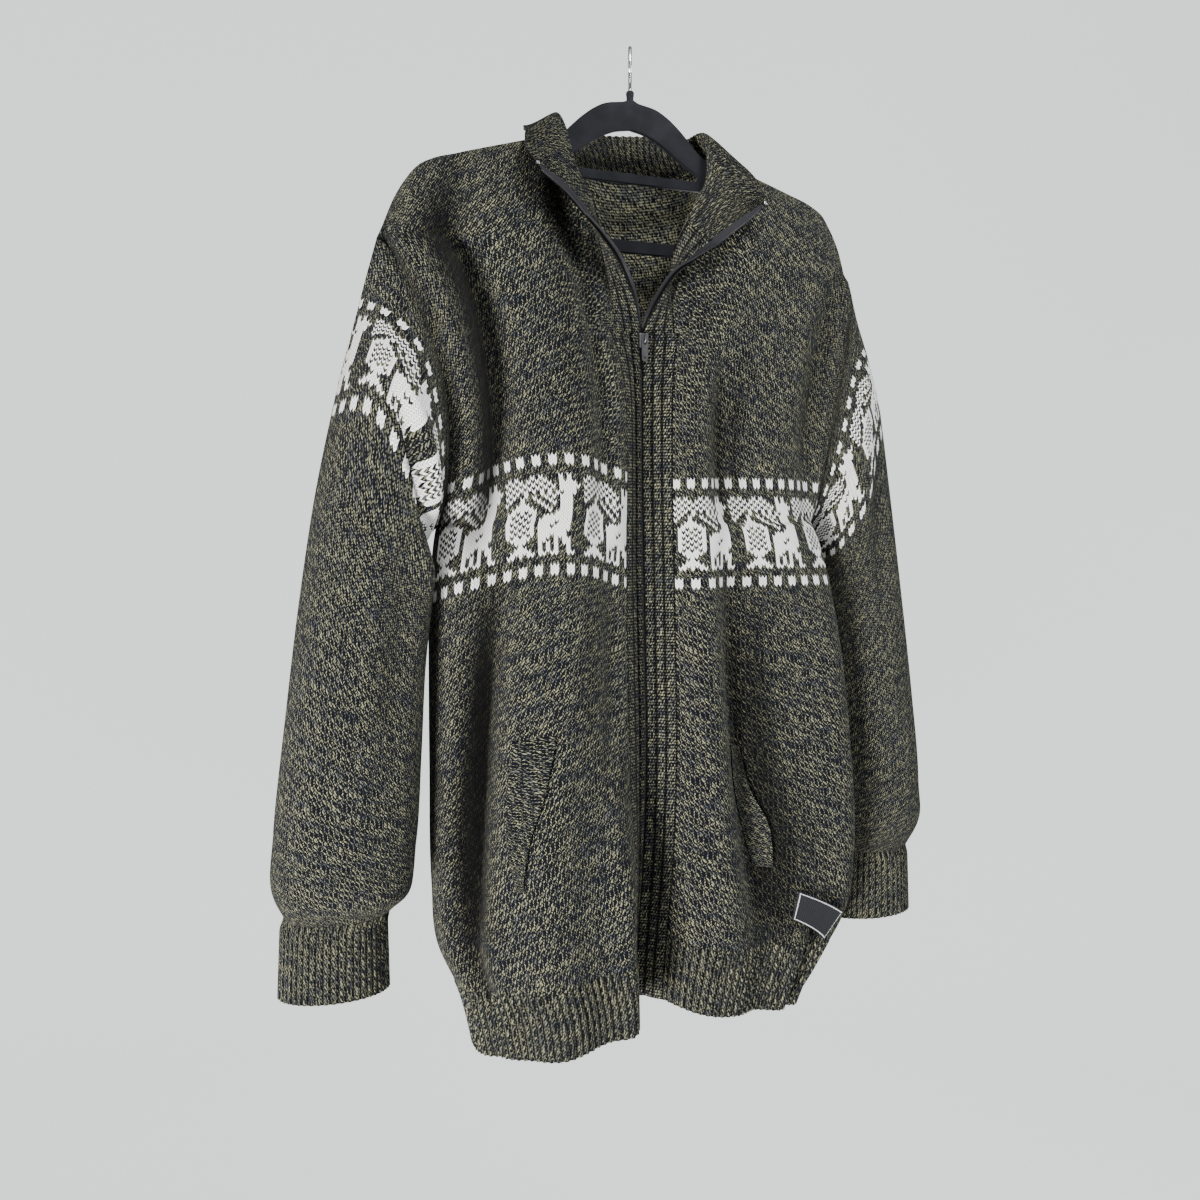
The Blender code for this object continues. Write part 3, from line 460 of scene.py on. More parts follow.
def topEdge(side, shares, back):
    # Neckline for the first share of the width, then the shoulder seam.
    turn = 0.32 if back else 0.28
    inner = np.clip(shares / turn, 0, 1)
    outer = np.clip((shares - turn) / (1 - turn), 0, 1)
    first, last = (0.5, 0.29) if back else (0.1, 0.29)  # shares of the collar's lines
    if side > 0:
        first, last = 1 - first, 1 - last
    neck = collarLine(1, first + (last - first) * inner)
    x = body["neckX"] + (body["shoulderX"] - body["neckX"]) * outer ** 1.08
    shoulder = np.stack([side * x, np.zeros_like(x), shoulderLine(x)], -1)
    return np.where((shares <= turn)[:, None], neck, shoulder), turn


def lapelAt(word, z):
    # Points of the band's joined edge and of the zip's edge at heights.
    shares, edges = np.split(np.array(lapels[word]), [1], axis=1)
    edges = edges / 1000
    share = np.interp(z, edges[::-1, 2], shares[::-1, 0])
    return np.split(flow(shares[:, 0], edges, share), 2, axis=1)


def panelGrid(side, name, columns):
    # Each column hangs from the top edge, leans out to the section's form within a quarter
    # of its length and follows it down to the rib. Rows are even above, over and below the
    # charted band.
    back = name == "back"
    facing = 1 if back else -1
    band = bands[name]
    top, turn = topEdge(side, columns, back)
    table = sectionTable(side, facing, folds[name], 0.0 if back else body["bandWidth"])
    high, wide = top[:, 2:3], band["height"]
    low = (body["ribTopZ"] - body["ribDrop"] * columns)[:, None]
    bandTop = flow(*zip(*band["top"]), columns)[:, None]
    above = np.clip(counts / bandFirst, 0, 1)
    within = np.clip((counts - bandFirst) / len(bandRows), 0, 1)
    under = np.clip((counts - bandEnd) / (panelRows - bandEnd), 0, 1)
    z = high + (bandTop - high) * above - wide * within + (low - bandTop + wide) * under
    point = onTable(table, z, columns[:, None])
    level = onTable(table, top[:, 2], columns)
    q = np.clip((high - z) / (high - low) / 0.25, 0, 1)
    rounded = 1 - np.sqrt(np.clip(1 - (1 - q) ** 2, 0, 1))
    eased = (1 - q) ** 2 * (1 + 2 * q)
    over = np.clip((columns - turn + 0.08) / 0.12, 0, 1)[:, None]
    lean = (eased * (1 - over) + rounded * over)[..., None]
    grid = point + (top - level)[:, None, :] * lean
    grid[..., 2] = z
    if not back:  # the edge follows the open lapel
        near = np.exp(-((columns / 0.16) ** 2))[:, None, None]
        edge = grid[0].copy()
        atSlider = onTable(table, np.array([body["sliderZ"]]), np.array([0.0]))[0]
        rest = np.array(lapels[name][-1][1:3]) / 1000 - atSlider[:2]
        below = np.clip(1 - (body["sliderZ"] - edge[:, 2]) / 0.08, 0, 1)[:, None] ** 2
        opened = lapelAt(name, edge[:, 2])[0][:, :2] - edge[:, :2]
        isOpen = (edge[:, 2] > body["sliderZ"])[:, None]
        grid[..., :2] += near * np.where(isOpen, opened, rest * below)
    last = grid[-1]
    seam = armholePoint(armShare(last[:, 2]), facing)[:, :2] * (side, facing)
    beside = (last[:, 2] >= body["underarmZ"]) & (last[:, 2] <= body["shoulderZ"] + 1e-6)
    last[beside, :2] = seam[beside]
    return grid, table


def wallsOf(grid, way, ring=False):
    # Unit normals of a grid, turned so that most of them follow the given way.
    across = np.roll(grid, -1, 0) - np.roll(grid, 1, 0) if ring else np.gradient(grid, axis=0)
    normal = unit(np.cross(across, np.gradient(grid, axis=1)))
    return normal if np.sum(normal * way) > 0 else -normal


def lengthDown(grid):
    # Running length along a path, or down a grid as the mean of its columns.
    steps = np.linalg.norm(np.diff(grid, axis=-2), axis=-1)
    return np.append(0, np.cumsum(np.atleast_2d(steps).mean(0)))


def cells(columns, rows, ring=False):
    # Corner numbers of each cell: its own, the next column's, both next, the next row's.
    i = np.arange(columns if ring else columns - 1)[:, None]
    j = np.arange(rows - 1)[None, :]
    n = (i + 1) % columns
    return np.stack([i * rows + j, n * rows + j, n * rows + j + 1, i * rows + j + 1], -1)


def declare(grid, ring):
    # Greatest width of the middle surface across its rows, at least 10.2 mm; nothing is kept or
    # returned.
    closed = np.concatenate([grid, grid[:1]]) if ring else grid
    across, down = np.diff(closed, axis=0), np.diff(closed, axis=1)
    width = float(np.linalg.norm(across, axis=-1).sum(0).max())
    width = max(width, 0.0102)


def sew(name, node, grid, walls, u, v, outside, inside=None, ring=False,
        thick=body["wall"], here=None, paintedHollowShade=None, rests=("hanger_frame",)):
    # Cloth: two layers half a wall out and in from the middle surface, closed by a rim.
    columns, rows = grid.shape[:2]
    count = columns * rows
    points = np.concatenate([(grid + walls * thick / 2).reshape(-1, 3),
                             (grid - walls * thick / 2).reshape(-1, 3)])
    cell = cells(columns, rows, ring)
    corner = cell.reshape(-1, 4)
    flat = np.stack(np.broadcast_arrays(u[:, None], v), -1).reshape(-1, 2)
    uv = flat[cells(len(u), len(v)).reshape(-1, 4)]
    first = np.cross(points[corner[:, 1]] - points[corner[:, 0]],
                     points[corner[:, 3]] - points[corner[:, 0]])
    turn = -1 if np.sum(first * walls.reshape(-1, 3)[corner[:, 0]]) < 0 else 1
    outer, outerUv = corner[:, ::turn], uv[:, ::turn]
    edges = [cell[:, 0, :2], cell[:, -1, 2:]]
    if not ring:
        edges += [cell[0, :, [3, 0]].T, cell[-1, :, 1:3]]
    edges = np.concatenate(edges)
    rim = np.concatenate([edges[:, ::-1], edges + count], 1)[:, ::turn]
    faces = np.concatenate([outer, outer[:, ::-1] + count, rim])
    coords = np.concatenate([outerUv, outerUv[:, ::-1], np.zeros((len(rim), 4, 2))])
    piece = meshPiece(name, points, faces.tolist(), outside)
    mesh = piece.data
    slots = np.zeros(len(faces), np.int32)
    slots[len(outer):len(outer) * 2] = 1
    mesh.materials.append(inside or outside)
    mesh.polygons.foreach_set("material_index", slots)
    mesh.uv_layers.new(name="stitch").data.foreach_set("uv", coords.ravel())
    if here is not None:  # white marks, also of the row below
        below = np.zeros_like(here)
        below[:, :-1] = here[:, 1:]
        for word, marks in (("here", here), ("below", below)):
            values = np.zeros(len(faces))
            values[:len(outer)] = marks.ravel()
            mesh.attributes.new(word, "FLOAT", "FACE").data.foreach_set("value", values)
        # painted shade of the hollows, on the points of both layers
        layer = mesh.attributes.new("paintedHollowShade", "FLOAT", "POINT")
        layer.data.foreach_set("value", np.tile(paintedHollowShade.ravel(), 2))
    pairs = np.zeros(len(mesh.edges) * 2, np.int32)
    mesh.edges.foreach_get("vertices", pairs)
    pairs = pairs.reshape(-1, 2)
    isRim = np.zeros(len(points), bool)
    isRim[rim] = True
    onRim = isRim[pairs].all(1) & ((pairs[:, 0] < count) == (pairs[:, 1] < count))
    mesh.attributes.new("sharp_edge", "BOOLEAN", "EDGE").data.foreach_set("value", onRim)
    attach(piece, "cardigan")
    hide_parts(node)
    declare(grid, ring)


# Charted band: palms and long-necked grazers between two rows of squares.
chart = """
.#.#...#.#....#.#...
#.#.#.#.#.#...#.#...
.#.#.#.#.#.#..####..
#.#.#.#.#.#.#.#####.
.#.#.#.#.#.#..####..
#.#..#...#.#.#.###..
.#..#..#..#.#.###...
#...#...#..#..###...
...###...#..#.###...
..#####...#...###...
.##.#.##...#..###...
.#.#.#.#.....####...
.##.#.##..#######...
.#.#.#.#.########...
.##.#.##.####.###...
.#.#.#.#.###.####...
.##.#.##.########...
.#.#.#.#.#######....
..#####..###.###....
...###...##..#.##...
....#....#.#.#.##...
...###...#.#.#..#...
..#####..#.#.#..#...
.##.#.##.##.##..##..
""".split()
border = ["##.." * 5] * 3 + ["." * 20] * 3
bandRows = np.array([[mark == "#" for mark in row]
                     for row in (*border, *chart, *border[::-1])], float)


def charted(columns, rows, firstRow, firstColumn, way):
    # White marks per stitch: the band from firstRow on, repeating sideways.
    here = np.zeros((columns, rows))
    across = (np.arange(columns) * way + firstColumn) % bandRows.shape[1]
    here[:, firstRow:firstRow + len(bandRows)] = bandRows[:, across].T
    return here


panelRows = 256
bandFirst = 100  # panel rows above the charted band
bandEnd = bandFirst + len(bandRows)
# Rows down from the top edge, with a few finer ones over the shoulder.
counts = np.concatenate([(0, 0.1, 0.3, 0.6), np.arange(1, panelRows + 1)])
extraRows = 3
stitches = {"front": 58, "halfBack": 66}
# Band: chart column beside the zip, height, height of its top at shares of the width.
bands = {
    "right": {"start": 16, "height": 0.0975,
              "top": ((0, -0.377), (0.35, -0.3635), (0.7, -0.373), (1, -0.389))},
    "left": {"start": 0, "height": 0.0935,
             "top": ((0, -0.3826), (0.4, -0.3815), (0.8, -0.3826), (1, -0.3845))},
    "back": {"start": 0, "height": 0.095, "top": ((0, -0.373), (0.5, -0.376), (1, -0.384))},
}


def ribbed(grid, walls, count, reach):
    # Rounded ridges across the width: a cosine wave along the wall's direction.
    wave = np.cos(np.linspace(0, 2 * math.pi * count, len(grid)))[:, None, None]
    return grid + walls * (wave * reach)


def panel(node, key, grid, facing, columns, reach=0.024):
    # Knitted panel with its band and the painted shade of its hollows.
    walls = wallsOf(grid, (0, facing, 0))
    here = charted(len(grid) - 1, len(counts) - 1, bandFirst + extraRows, bands[key]["start"],
                   sides.get(key, -1))
    sew("knit_" + node, node, grid, walls, np.arange(float(len(grid))), -counts,
        knitCloth, knitInside, here=here, paintedHollowShade=paintedHollowShadeOf(folds[key], columns, grid, reach))
    return walls


hem = {"across": np.linspace(0, 1, 241)[:, None], "down": np.linspace(0, 1, 22), "rows": 20,
       "reach": 0.0008, "ribs": {"right": 34, "left": 34, "back": 64}}


def hemForm(table):
    z = body["ribTopZ"] - body["ribDrop"] * hem["across"] - body["ribHeight"] * hem["down"]
    return onTable(table, z, hem["across"])


def hemRib(key, foot, facing):
    walls = wallsOf(foot, (0, facing, 0))
    ribs = hem["ribs"][key]
    foot = ribbed(foot, walls, ribs, hem["reach"])
    sew("rib_hem_" + key, "hem_rib_" + key, foot, walls,
        np.linspace(0.5, ribs * 2 + 0.5, len(foot)), -hem["down"] * hem["rows"], ribCloth)
    return foot


fronts = {}
columns = np.linspace(0, 1, stitches["front"] + 1)
for word, side in sides.items():
    grid, table = panelGrid(side, word, columns)
    walls = panel("front_" + word, word, grid, -1, columns - 0.02)
    fronts[word] = (grid, walls, hemRib(word, hemForm(table), -1))
print("fronts made")

# Back, its columns from the wearer's right to the left.
columns = np.linspace(0, 1, stitches["halfBack"] + 1)
halves = [panelGrid(side, "back", columns) for side in (-1, 1)]
grid = np.concatenate([halves[0][0][::-1], halves[1][0][1:]])
panel("back", "back", grid, 1, np.concatenate([-columns[::-1], columns[1:]]), 0.05)
foot = [hemForm(table) for grid, table in halves]
hemRib("back", np.concatenate([foot[0][::-1], foot[1][1:]]), 1)
print("back made")

# Sleeves: share of length; outer x, z, inner x, z, front and back reach in mm.
sleeves = {
    "right": (
        (0.06, 236, -222, 186, -428, 58, 44), (0.14, 246, -262, 196, -440, 64, 46),
        (0.24, 259, -318, 189, -458, 56, 46), (0.36, 274, -390, 187, -490, 50, 45),
        (0.5, 287, -475, 191, -540, 47, 43), (0.66, 299, -575, 194, -608, 46, 40),
        (0.82, 308, -665, 198, -675, 45, 38), (0.94, 309, -712, 206, -716, 42, 34),
        (1, 300, -731, 220, -731, 30, 26),
    ),
    "left": (
        (0.06, 236, -226, 188, -428, 50, 44), (0.14, 244, -266, 200, -440, 48, 48),
        (0.24, 256, -320, 206, -458, 42, 50), (0.36, 270, -392, 207, -490, 36, 52),
        (0.5, 283, -475, 208, -540, 34, 54), (0.66, 297, -575, 213, -608, 32, 54),
        (0.82, 306, -665, 220, -675, 32, 50), (0.94, 304, -712, 216, -716, 30, 44),
        (1, 292, -731, 213, -731, 26, 30),
    ),
}
cuffs = {"height": 0.062, "halfWidth": 0.041, "halfDepth": 0.028, "spread": 0.002, "ribs": 44,
         "reach": 0.0007, "middleX": {"right": -0.262, "left": 0.254}}
sleeveRows = 206
sleeveBand = {"firstRow": 20, "start": {"right": 13, "left": 6}}
halfRing = 46
# Sleeve folds: share of length, place round the half ring, reach, spread along and across.
sleeveFolds = {
    "right": (
        (0.082, 0.64, 0.015, 0.036, 0.26), (0.15, 0.6, -0.018, 0.036, 0.14),
        (0.3, 0.72, 0.007, 0.06, 0.14), (0.5, 0.6, -0.006, 0.2, 0.1),
        (0.8, 0.3, 0.004, 0.08, 0.25), (0.93, 0.6, 0.004, 0.03, 0.3),
    ),
    "left": (
        (0.14, 0.62, 0.006, 0.12, 0.14), (0.34, 0.45, -0.005, 0.14, 0.1),
        (0.66, 0.6, 0.005, 0.12, 0.2), (0.9, 0.5, 0.004, 0.04, 0.3),
    ),
}


def sleeveForm(side, word):
    # The ring runs from the outer line to the inner line by a cosine share and bulges
    # forward or back by a sine; courses near the seam are pulled up towards it.
    rows = np.array(sleeves[word]) / (1, *[1000] * 6)
    start = [body[key] for key in ("shoulderX", "shoulderZ", "underarmX", "underarmZ")]
    rows = np.vstack([(0, *start, *body["armReach"].values()), rows])
    around = np.arange(halfRing * 2)
    frontHalf = (around <= halfRing)[:, None]
    linear = np.where(frontHalf, around[:, None] / halfRing, 2 - around[:, None] / halfRing)
    length = np.concatenate([(0, 0.002), np.arange(1, sleeveRows + 1) / sleeveRows])
    pull = 1 + 0.55 * soft(linear / 0.45) * (1 - soft((length - 0.1) / 0.27))
    share = length ** pull
    outX, outZ, inX, inZ, front, back = np.moveaxis(flow(rows[:, 0], rows[:, 1:], share), -1, 0)
    mix = np.clip(share / 0.2, 0, 1)
    along = linear * (1 - mix) + (1 - np.cos(math.pi * linear)) / 2 * mix
    bulge = np.clip(np.sin(math.pi * linear), 0, 1) ** 0.8
    y = np.where(frontHalf, -front, back) * bulge
    grid = np.stack([side * (outX + (inX - outX) * along), y, outZ + (inZ - outZ) * along], -1)
    seams = [armholePoint(linear[:, 0], facing) * (side, facing, 1) for facing in (-1, 1)]
    seam = np.where(frontHalf, *seams)
    grid = grid + (seam - grid[:, 0])[:, None, :] * (1 - soft(share / 0.07))[..., None]
    walls = wallsOf(grid, grid - grid.mean(0), ring=True)
    lean = np.where(frontHalf, 1.0, 0.25)
    # painted shade: the colour darkens in the inward folds
    paintedHollowShade = np.zeros(share.shape)
    for at, place, reach, down, across in sleeveFolds[word]:
        rise = np.exp(-(((share - at) / down) ** 2) - (((linear - place) / across) ** 2))
        rise = rise * reach * lean * soft(share / 0.05) * soft((1 - share) / 0.04)
        grid = grid + walls * rise[..., None]
        if reach > 0.012:  # a roll sags over the hollow below it
            grid[..., 2] -= rise * 0.4
        paintedHollowShade = paintedHollowShade + np.clip(-rise, 0, 1) / 0.015
    # painted shade along the armhole seam
    seamShade = np.clip(1 - share / 0.022, 0, 1) * 0.7
    return grid, length, np.maximum(soft(paintedHollowShade), seamShade)


for word, side in sides.items():
    grid, length, paintedHollowShade = sleeveForm(side, word)
    here = charted(len(grid), len(length) - 1, sleeveBand["firstRow"],
                   sleeveBand["start"][word], -side)
    sew("knit_sleeve_" + word, "sleeve_" + word, grid,
        wallsOf(grid, grid - grid.mean(0), ring=True), np.arange(len(grid) + 1.0),
        -length * sleeveRows, knitCloth, knitInside, ring=True, here=here, paintedHollowShade=paintedHollowShade)
    # Cuff: starts on the sleeve's last ring and eases into an upright oval tube.
    last = grid[:, -1]
    closed = np.concatenate([last, last[:1]])
    count = cuffs["ribs"] * 4
    ringPlace = np.linspace(0, len(last), count, endpoint=False)
    top = np.stack([np.interp(ringPlace, np.arange(len(closed)), line) for line in closed.T], -1)
    angle = np.arctan2(top[:, 1] / 0.03, (top[:, 0] - last[:, 0].mean()) / 0.04)[:, None]
    fall = np.linspace(0, 1, 26)
    ease = soft(fall / 0.15)[:, None]
    halfWidth = cuffs["halfWidth"] + cuffs["spread"] * fall
    low = np.stack([cuffs["middleX"][word] + halfWidth * np.cos(angle),
                    cuffs["halfDepth"] * np.sin(angle) + 0 * fall], -1)
    cuff = np.zeros((count, len(fall), 3))
    cuff[..., :2] = top[:, None, :2] * (1 - ease) + low * ease
    cuff[..., 2] = top[:, 2:3] - cuffs["height"] * fall
    walls = wallsOf(cuff, cuff - cuff.mean(0), ring=True)
    wave = np.cos(np.arange(count) * math.pi / 2)[:, None, None]
    sew("rib_cuff_" + word, "cuff_" + word, cuff + walls * wave * cuffs["reach"],
        walls, np.arange(count + 1) / 2 + 0.5, -fall * 23, ribCloth, ring=True)
print("sleeves made")

# Zip bands: flat, then a roll along the zip's edge; shares of the width and heights.
zipBand = {"flat": 0.66, "flatRise": 0.0016, "rollRise": 0.0024, "sink": 0.0012,
           "gap": 0.0012, "stitches": 9, "stitchHigh": 0.0026}
for word, side in sides.items():
    grid, walls, foot = fronts[word]
    joined = np.concatenate([grid[0], foot[0, 3::3]])
    z = joined[:, 2]
    row = torsoRow(z)
    isOpen = z > body["sliderZ"]
    free = np.stack([row[:, 4], row[:, 5], z], -1)
    free = np.where(isOpen[:, None], lapelAt(word, z)[1], free)
    free[:, 0] += np.where(isOpen, 0, side * zipBand["gap"])
    across = np.linspace(0, 1, 25)[:, None, None]
    band = joined[None] * (1 - across) + free[None] * across
    walls = wallsOf(band, (0, -1, 0))
    flat = np.sin(math.pi * np.clip(across / zipBand["flat"], 0, 1)) ** 0.5
    roll = np.clip((across - zipBand["flat"]) / 0.38, 0, 1)
    roll = np.clip(np.sin(math.pi * roll), 0, 1) ** 0.6
    band = band + walls * (flat * zipBand["flatRise"] + roll * zipBand["rollRise"]
                           - zipBand["sink"])
    sew("knit_band_" + word, "zip_band_" + word, band, walls,
        np.linspace(0, zipBand["stitches"], 25), -lengthDown(band) / zipBand["stitchHigh"],
        bandCloth)
    fronts[word] = fronts[word][:2] + (band, walls)

collarRibs = 96
places, rises = np.linspace(0, 1, 4 * collarRibs + 1), np.linspace(0, 1, 30)
lines = np.reshape([collarLine(k, places) for k in (1, 2, 3)], (3, -1))
collar = np.moveaxis(flow((0, 0.5, 1), lines, rises).reshape(30, -1, 3), 0, 1)
collarWalls = wallsOf(collar, collar - np.array((0.0, 0.0, -0.09)))
sew("rib_collar", "collar", ribbed(collar, collarWalls, collarRibs, 0.0007),
    collarWalls, np.linspace(0.5, collarRibs * 2 + 0.5, len(places)), rises * 22, ribCloth,
    rests=("knit_front_right", "knit_front_left"))
print("bands and collar made")


def laidOn(grid, walls, marks, lift):
    # Points above a panel at shares of its width and height. Rows below the charted band
    # are even, so a height share gives the row.
    i = np.clip(marks[..., 0] * (len(grid) - 1), 0, len(grid) - 1.001)
    column = grid[np.round(i).astype(int)]
    z = column[..., 0, 2] * (1 - marks[..., 1]) + column[..., -1, 2] * marks[..., 1]
    first = bandEnd + extraRows
    run = (column[..., first, 2] - z) / (column[..., first, 2] - column[..., -1, 2])
    j = first + run * (grid.shape[1] - 1 - first)
    way = unit(between(walls, i, j))
    return between(grid, i, j) + way * lift, way


# Pocket welts: slanted opening edge and the width to the inner edge, as shares of the front.
welts = {
    "right": (((0.36, 0.715), (0.4, 0.777), (0.47, 0.83), (0.535, 0.885)),
              (0.16, 0.14, 0.09, 0.03)),
    "left": (((0.33, 0.755), (0.365, 0.803), (0.43, 0.853), (0.445, 0.905)),
             (0.05, 0.085, 0.1, 0.07)),
}
for word, (edge, widths) in welts.items():
    t = np.linspace(0, 1, 70)
    k = np.linspace(0, 1, 14)[:, None]
    line = flow(np.linspace(0, 1, 4), edge, t)
    width = flow(np.linspace(0, 1, 4), widths, t)
    marks = np.stack([line[:, 0] - sides[word] * width * k, line[:, 1] + 0 * k], -1)
    spots, ways = laidOn(*fronts[word][:2], marks, 0.003)
    ends = np.clip(1 - t / 0.05, 0, 1) + np.clip((t - 0.95) / 0.05, 0, 1)
    ridge = (1 - np.clip(k / 0.18, 0, 1)) * 0.0012 - np.clip((k - 0.8) / 0.2, 0, 1) * 0.0016
    ridge = ridge * (1 - ends) - ends * 0.0022  # both ends are sewn down
    sew("welt_pocket_" + word, "pocket_welt_" + word,
        spots + ways * ridge[..., None], ways, k[:, 0] * 9, t * 40, weltCloth, thick=0.0018,
        rests=("knit_front_" + word,))

# Blank woven patch with a stitched frame.
patch = {
    "corners": ((0.53, 0.93), (0.765, 0.957), (0.745, 0.994), (0.505, 0.965)),
    "lift": 0.0042, "thick": 0.001, "ground": ((0.015, 0.0155, 0.018), (0.032, 0.033, 0.037)),
    "frame": (0.6, 0.6, 0.61), "framePlace": (0.468, 0.45), "frameEnd": (0.48, 0.474),
}
corners = np.array(patch["corners"])
a = np.linspace(0, 1, 41)[:, None, None]
b = np.linspace(0, 1, 25)[None, :, None]
marks = ((corners[0] * (1 - a) + corners[1] * a) * (1 - b)
         + (corners[3] * (1 - a) + corners[2] * a) * b)
spots, ways = laidOn(*fronts["left"][:2], marks, patch["lift"])
# The stiff patch bridges small dents: a quadratic sheet through its spots, clear of them.
basis = np.concatenate(np.broadcast_arrays(a * 0 + 1, a, b, a * a, a * b, b * b), -1)
basis = basis.reshape(-1, 6)
fitted = np.linalg.lstsq(basis, spots.reshape(-1, 3), rcond=None)[0]
sheet = (basis @ fitted).reshape(spots.shape)
outward = unit(ways.mean((0, 1)))
spots = sheet + outward * max(0.0, np.sum((spots - sheet) * outward, -1).max() * 0.6)
woven = Finish("grey_woven_patch", 0.8, Specular_IOR_Level=0.1)
u, v = woven.stitch()
thread = ((u * 150).sine() * 0.5 + 0.5) * ((v * 110).sine() * 0.5 + 0.5)
edgeAcross, edgeDown = (u - 0.5).size(), (v - 0.5).size()
frameLine = (edgeAcross - patch["framePlace"][0]).size().smooth(0.012, 0.005).most(
    (edgeDown - patch["framePlace"][1]).size().smooth(0.024, 0.01))
inFrame = (patch["frameEnd"][0] - edgeAcross).above(0.0) * (
    patch["frameEnd"][1] - edgeDown).above(0.0)
dashes = ((u * 90).sine() * 0.5 + 0.5).most((v * 60).sine() * 0.5 + 0.5).smooth(0.25, 0.45)
frameMask = frameLine * inFrame * (dashes * 0.75 + 0.25)
woven.colour(woven.blend(frameMask, woven.blend(thread, *patch["ground"]), patch["frame"]))
woven.relief(thread + frameMask * 2, 0.0003, 0.7)
sew("patch_hem", "hem_label", spots, wallsOf(spots, outward), a[:, 0, 0],
    b[0, :, 0], woven.material, thick=patch["thick"], rests=("knit_front_left",))
print("pockets and patch made")

zipper = {
    "behind": 0.002, "tapeAcross": (-0.001, 0.001, 0.003, 0.005), "tapeThick": 0.0011,
    "coilIn": 0.0014, "coilOut": 0.0006, "pitch": 0.0014, "tooth": (0.0011, 0.00035, 0.0008),
    "chainRadius": 0.0012, "chainFoot": -0.829, "chainBack": 0.0004,
}
tapeFinish = mottled("grey_zip_tape", 0.8, 900, 1.0, (0.007, 0.007, 0.009),
                     (0.02, 0.02, 0.024), Specular_IOR_Level=0.25)
tapeFinish.relief(tapeFinish.noise(900, 1.0), 0.0004, 0.6)
coilFinish = mottled("dark_zip_coil", 0.5, 600, 1.0, (0.01, 0.01, 0.012),
                     (0.04, 0.04, 0.046), Specular_IOR_Level=0.3)


def onTapes(piece):
    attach(piece, "cardigan")


def tubePiece(name, path, radius, material, sides=8):
    # Round bar: a ring square to the path at each point, with a cap at both ends.
    tangent = unit(np.gradient(path, axis=0))
    out = unit(np.cross(tangent, (0.31, 0.87, 0.05)))
    angle = np.linspace(0, 2 * math.pi, sides, endpoint=False)[:, None, None]
    ring = path + radius * (np.cos(angle) * out + np.sin(angle) * np.cross(tangent, out))
    faces = cells(sides, len(path), True)[..., [0, 3, 2, 1]].reshape(-1, 4).tolist()
    start = np.arange(sides) * len(path)
    faces += [start.tolist(), (start + len(path) - 1)[::-1].tolist()]
    return meshPiece(name, ring, faces, material)


def teethPiece(name, path, inward, face, material):
    # Small eight-cornered teeth set across the path at an even pitch.
    length = lengthDown(path)
    at = np.arange(zipper["pitch"] / 2, length[-1], zipper["pitch"])
    centre, across, out = (np.stack([np.interp(at, length, line) for line in rows.T], -1)
                           for rows in (path, inward, face))
    across, out = unit(across), unit(out)
    run = unit(np.cross(across, out))
    box = np.array([(x, y, z) for x in (-1, 1) for y in (-1, 1) for z in (-1, 1)], float)
    corners = centre[:, None] + (box * zipper["tooth"]) @ np.stack([across, run, out], 1)
    quads = np.array(((0, 1, 3, 2), (4, 6, 7, 5), (0, 4, 5, 1), (2, 3, 7, 6), (0, 2, 6, 4),
                      (1, 5, 7, 3)))
    turned = np.linalg.det(np.stack([across, run, out], -1)) < 0
    every = quads[None] + (np.arange(len(at)) * 8)[:, None, None]
    every[turned] = every[turned][:, :, ::-1]
    return meshPiece(name, corners, every.reshape(-1, 4).tolist(), material, False)


# Each tape runs up behind the band's edge and on along the collar's end.
for word, side in sides.items():
    band, bandWalls = fronts[word][2:]
    end, near = (0, 8) if side < 0 else (-1, -9)
    rise = collar[end, ::-1]
    face = collarWalls[end, ::-1]
    face = face * np.sign(np.sum(face[-1] * bandWalls[-1, 0]))
    path = np.concatenate([rise[:-1], band[-1]])
    inward = np.concatenate([unit(collar[near, ::-1] - rise)[:-1], unit(band[-4] - band[-1])])
    face = np.concatenate([face[:-1], bandWalls[-1]])
    tapeAcross = np.array(zipper["tapeAcross"])[:, None, None]
    tape = path + inward * tapeAcross - face * zipper["behind"]
    sew("tape_zip_" + word, "zip_tape_" + word, tape,
        np.repeat(face[None], 4, 0), np.linspace(0, 4, 4), lengthDown(tape) / 0.001,
        tapeFinish.material, thick=zipper["tapeThick"], rests=("knit_band_" + word,))
    isOpen = path[:, 2] > body["sliderZ"] + 0.002
    coil = path - inward * zipper["coilIn"] - face * (zipper["behind"] - zipper["coilOut"])
    onTapes(teethPiece("teeth_" + word, coil[isOpen], inward[isOpen], face[isOpen],
                       coilFinish.material))

z = np.linspace(body["sliderZ"] - 0.006, zipper["chainFoot"], 160)
row = torsoRow(z)
chain = np.stack([row[:, 4], row[:, 5] + zipper["chainBack"], z], -1)
onTapes(tubePiece("coil_closed", chain, zipper["chainRadius"], coilFinish.material))
print("zip made")

velvet = Finish("black_velvet_flock", 0.85, Sheen_Weight=0.4, Sheen_Roughness=0.35,
                Sheen_Tint=(0.62, 0.64, 0.72), Specular_IOR_Level=0.2)
nap = velvet.noise(1500)
brushed = velvet.noise(38, 3.0, 0.6)
velvet.colour(velvet.blend(brushed.smooth(0.3, 0.7) * 0.6 + nap * 0.4,
                           (0.0055, 0.0058, 0.008), (0.0155, 0.0162, 0.0205)))
velvet.relief(nap + brushed * 0.5, 0.0003, 0.5)
chrome = mottled("polished_chrome", 0.2, 60, 2.0, (0.4, 0.41, 0.43), (0.58, 0.59, 0.61),
                 Metallic=1.0)
chrome.feed(chrome.noise(220) * 0.14 + 0.18, chrome.shader.inputs["Roughness"])
gunmetal = mottled("gunmetal_zip", 0.35, 500, 3.0, (0.075, 0.075, 0.08), (0.19, 0.19, 0.2),
                   Metallic=0.9)
gunmetal.relief(gunmetal.noise(1200), 0.0001, 0.4)
silver = mottled("bright_zip_stop", 0.2, 700, 2.0, (0.72, 0.72, 0.72), (0.92, 0.92, 0.92),
                 Metallic=1.0)

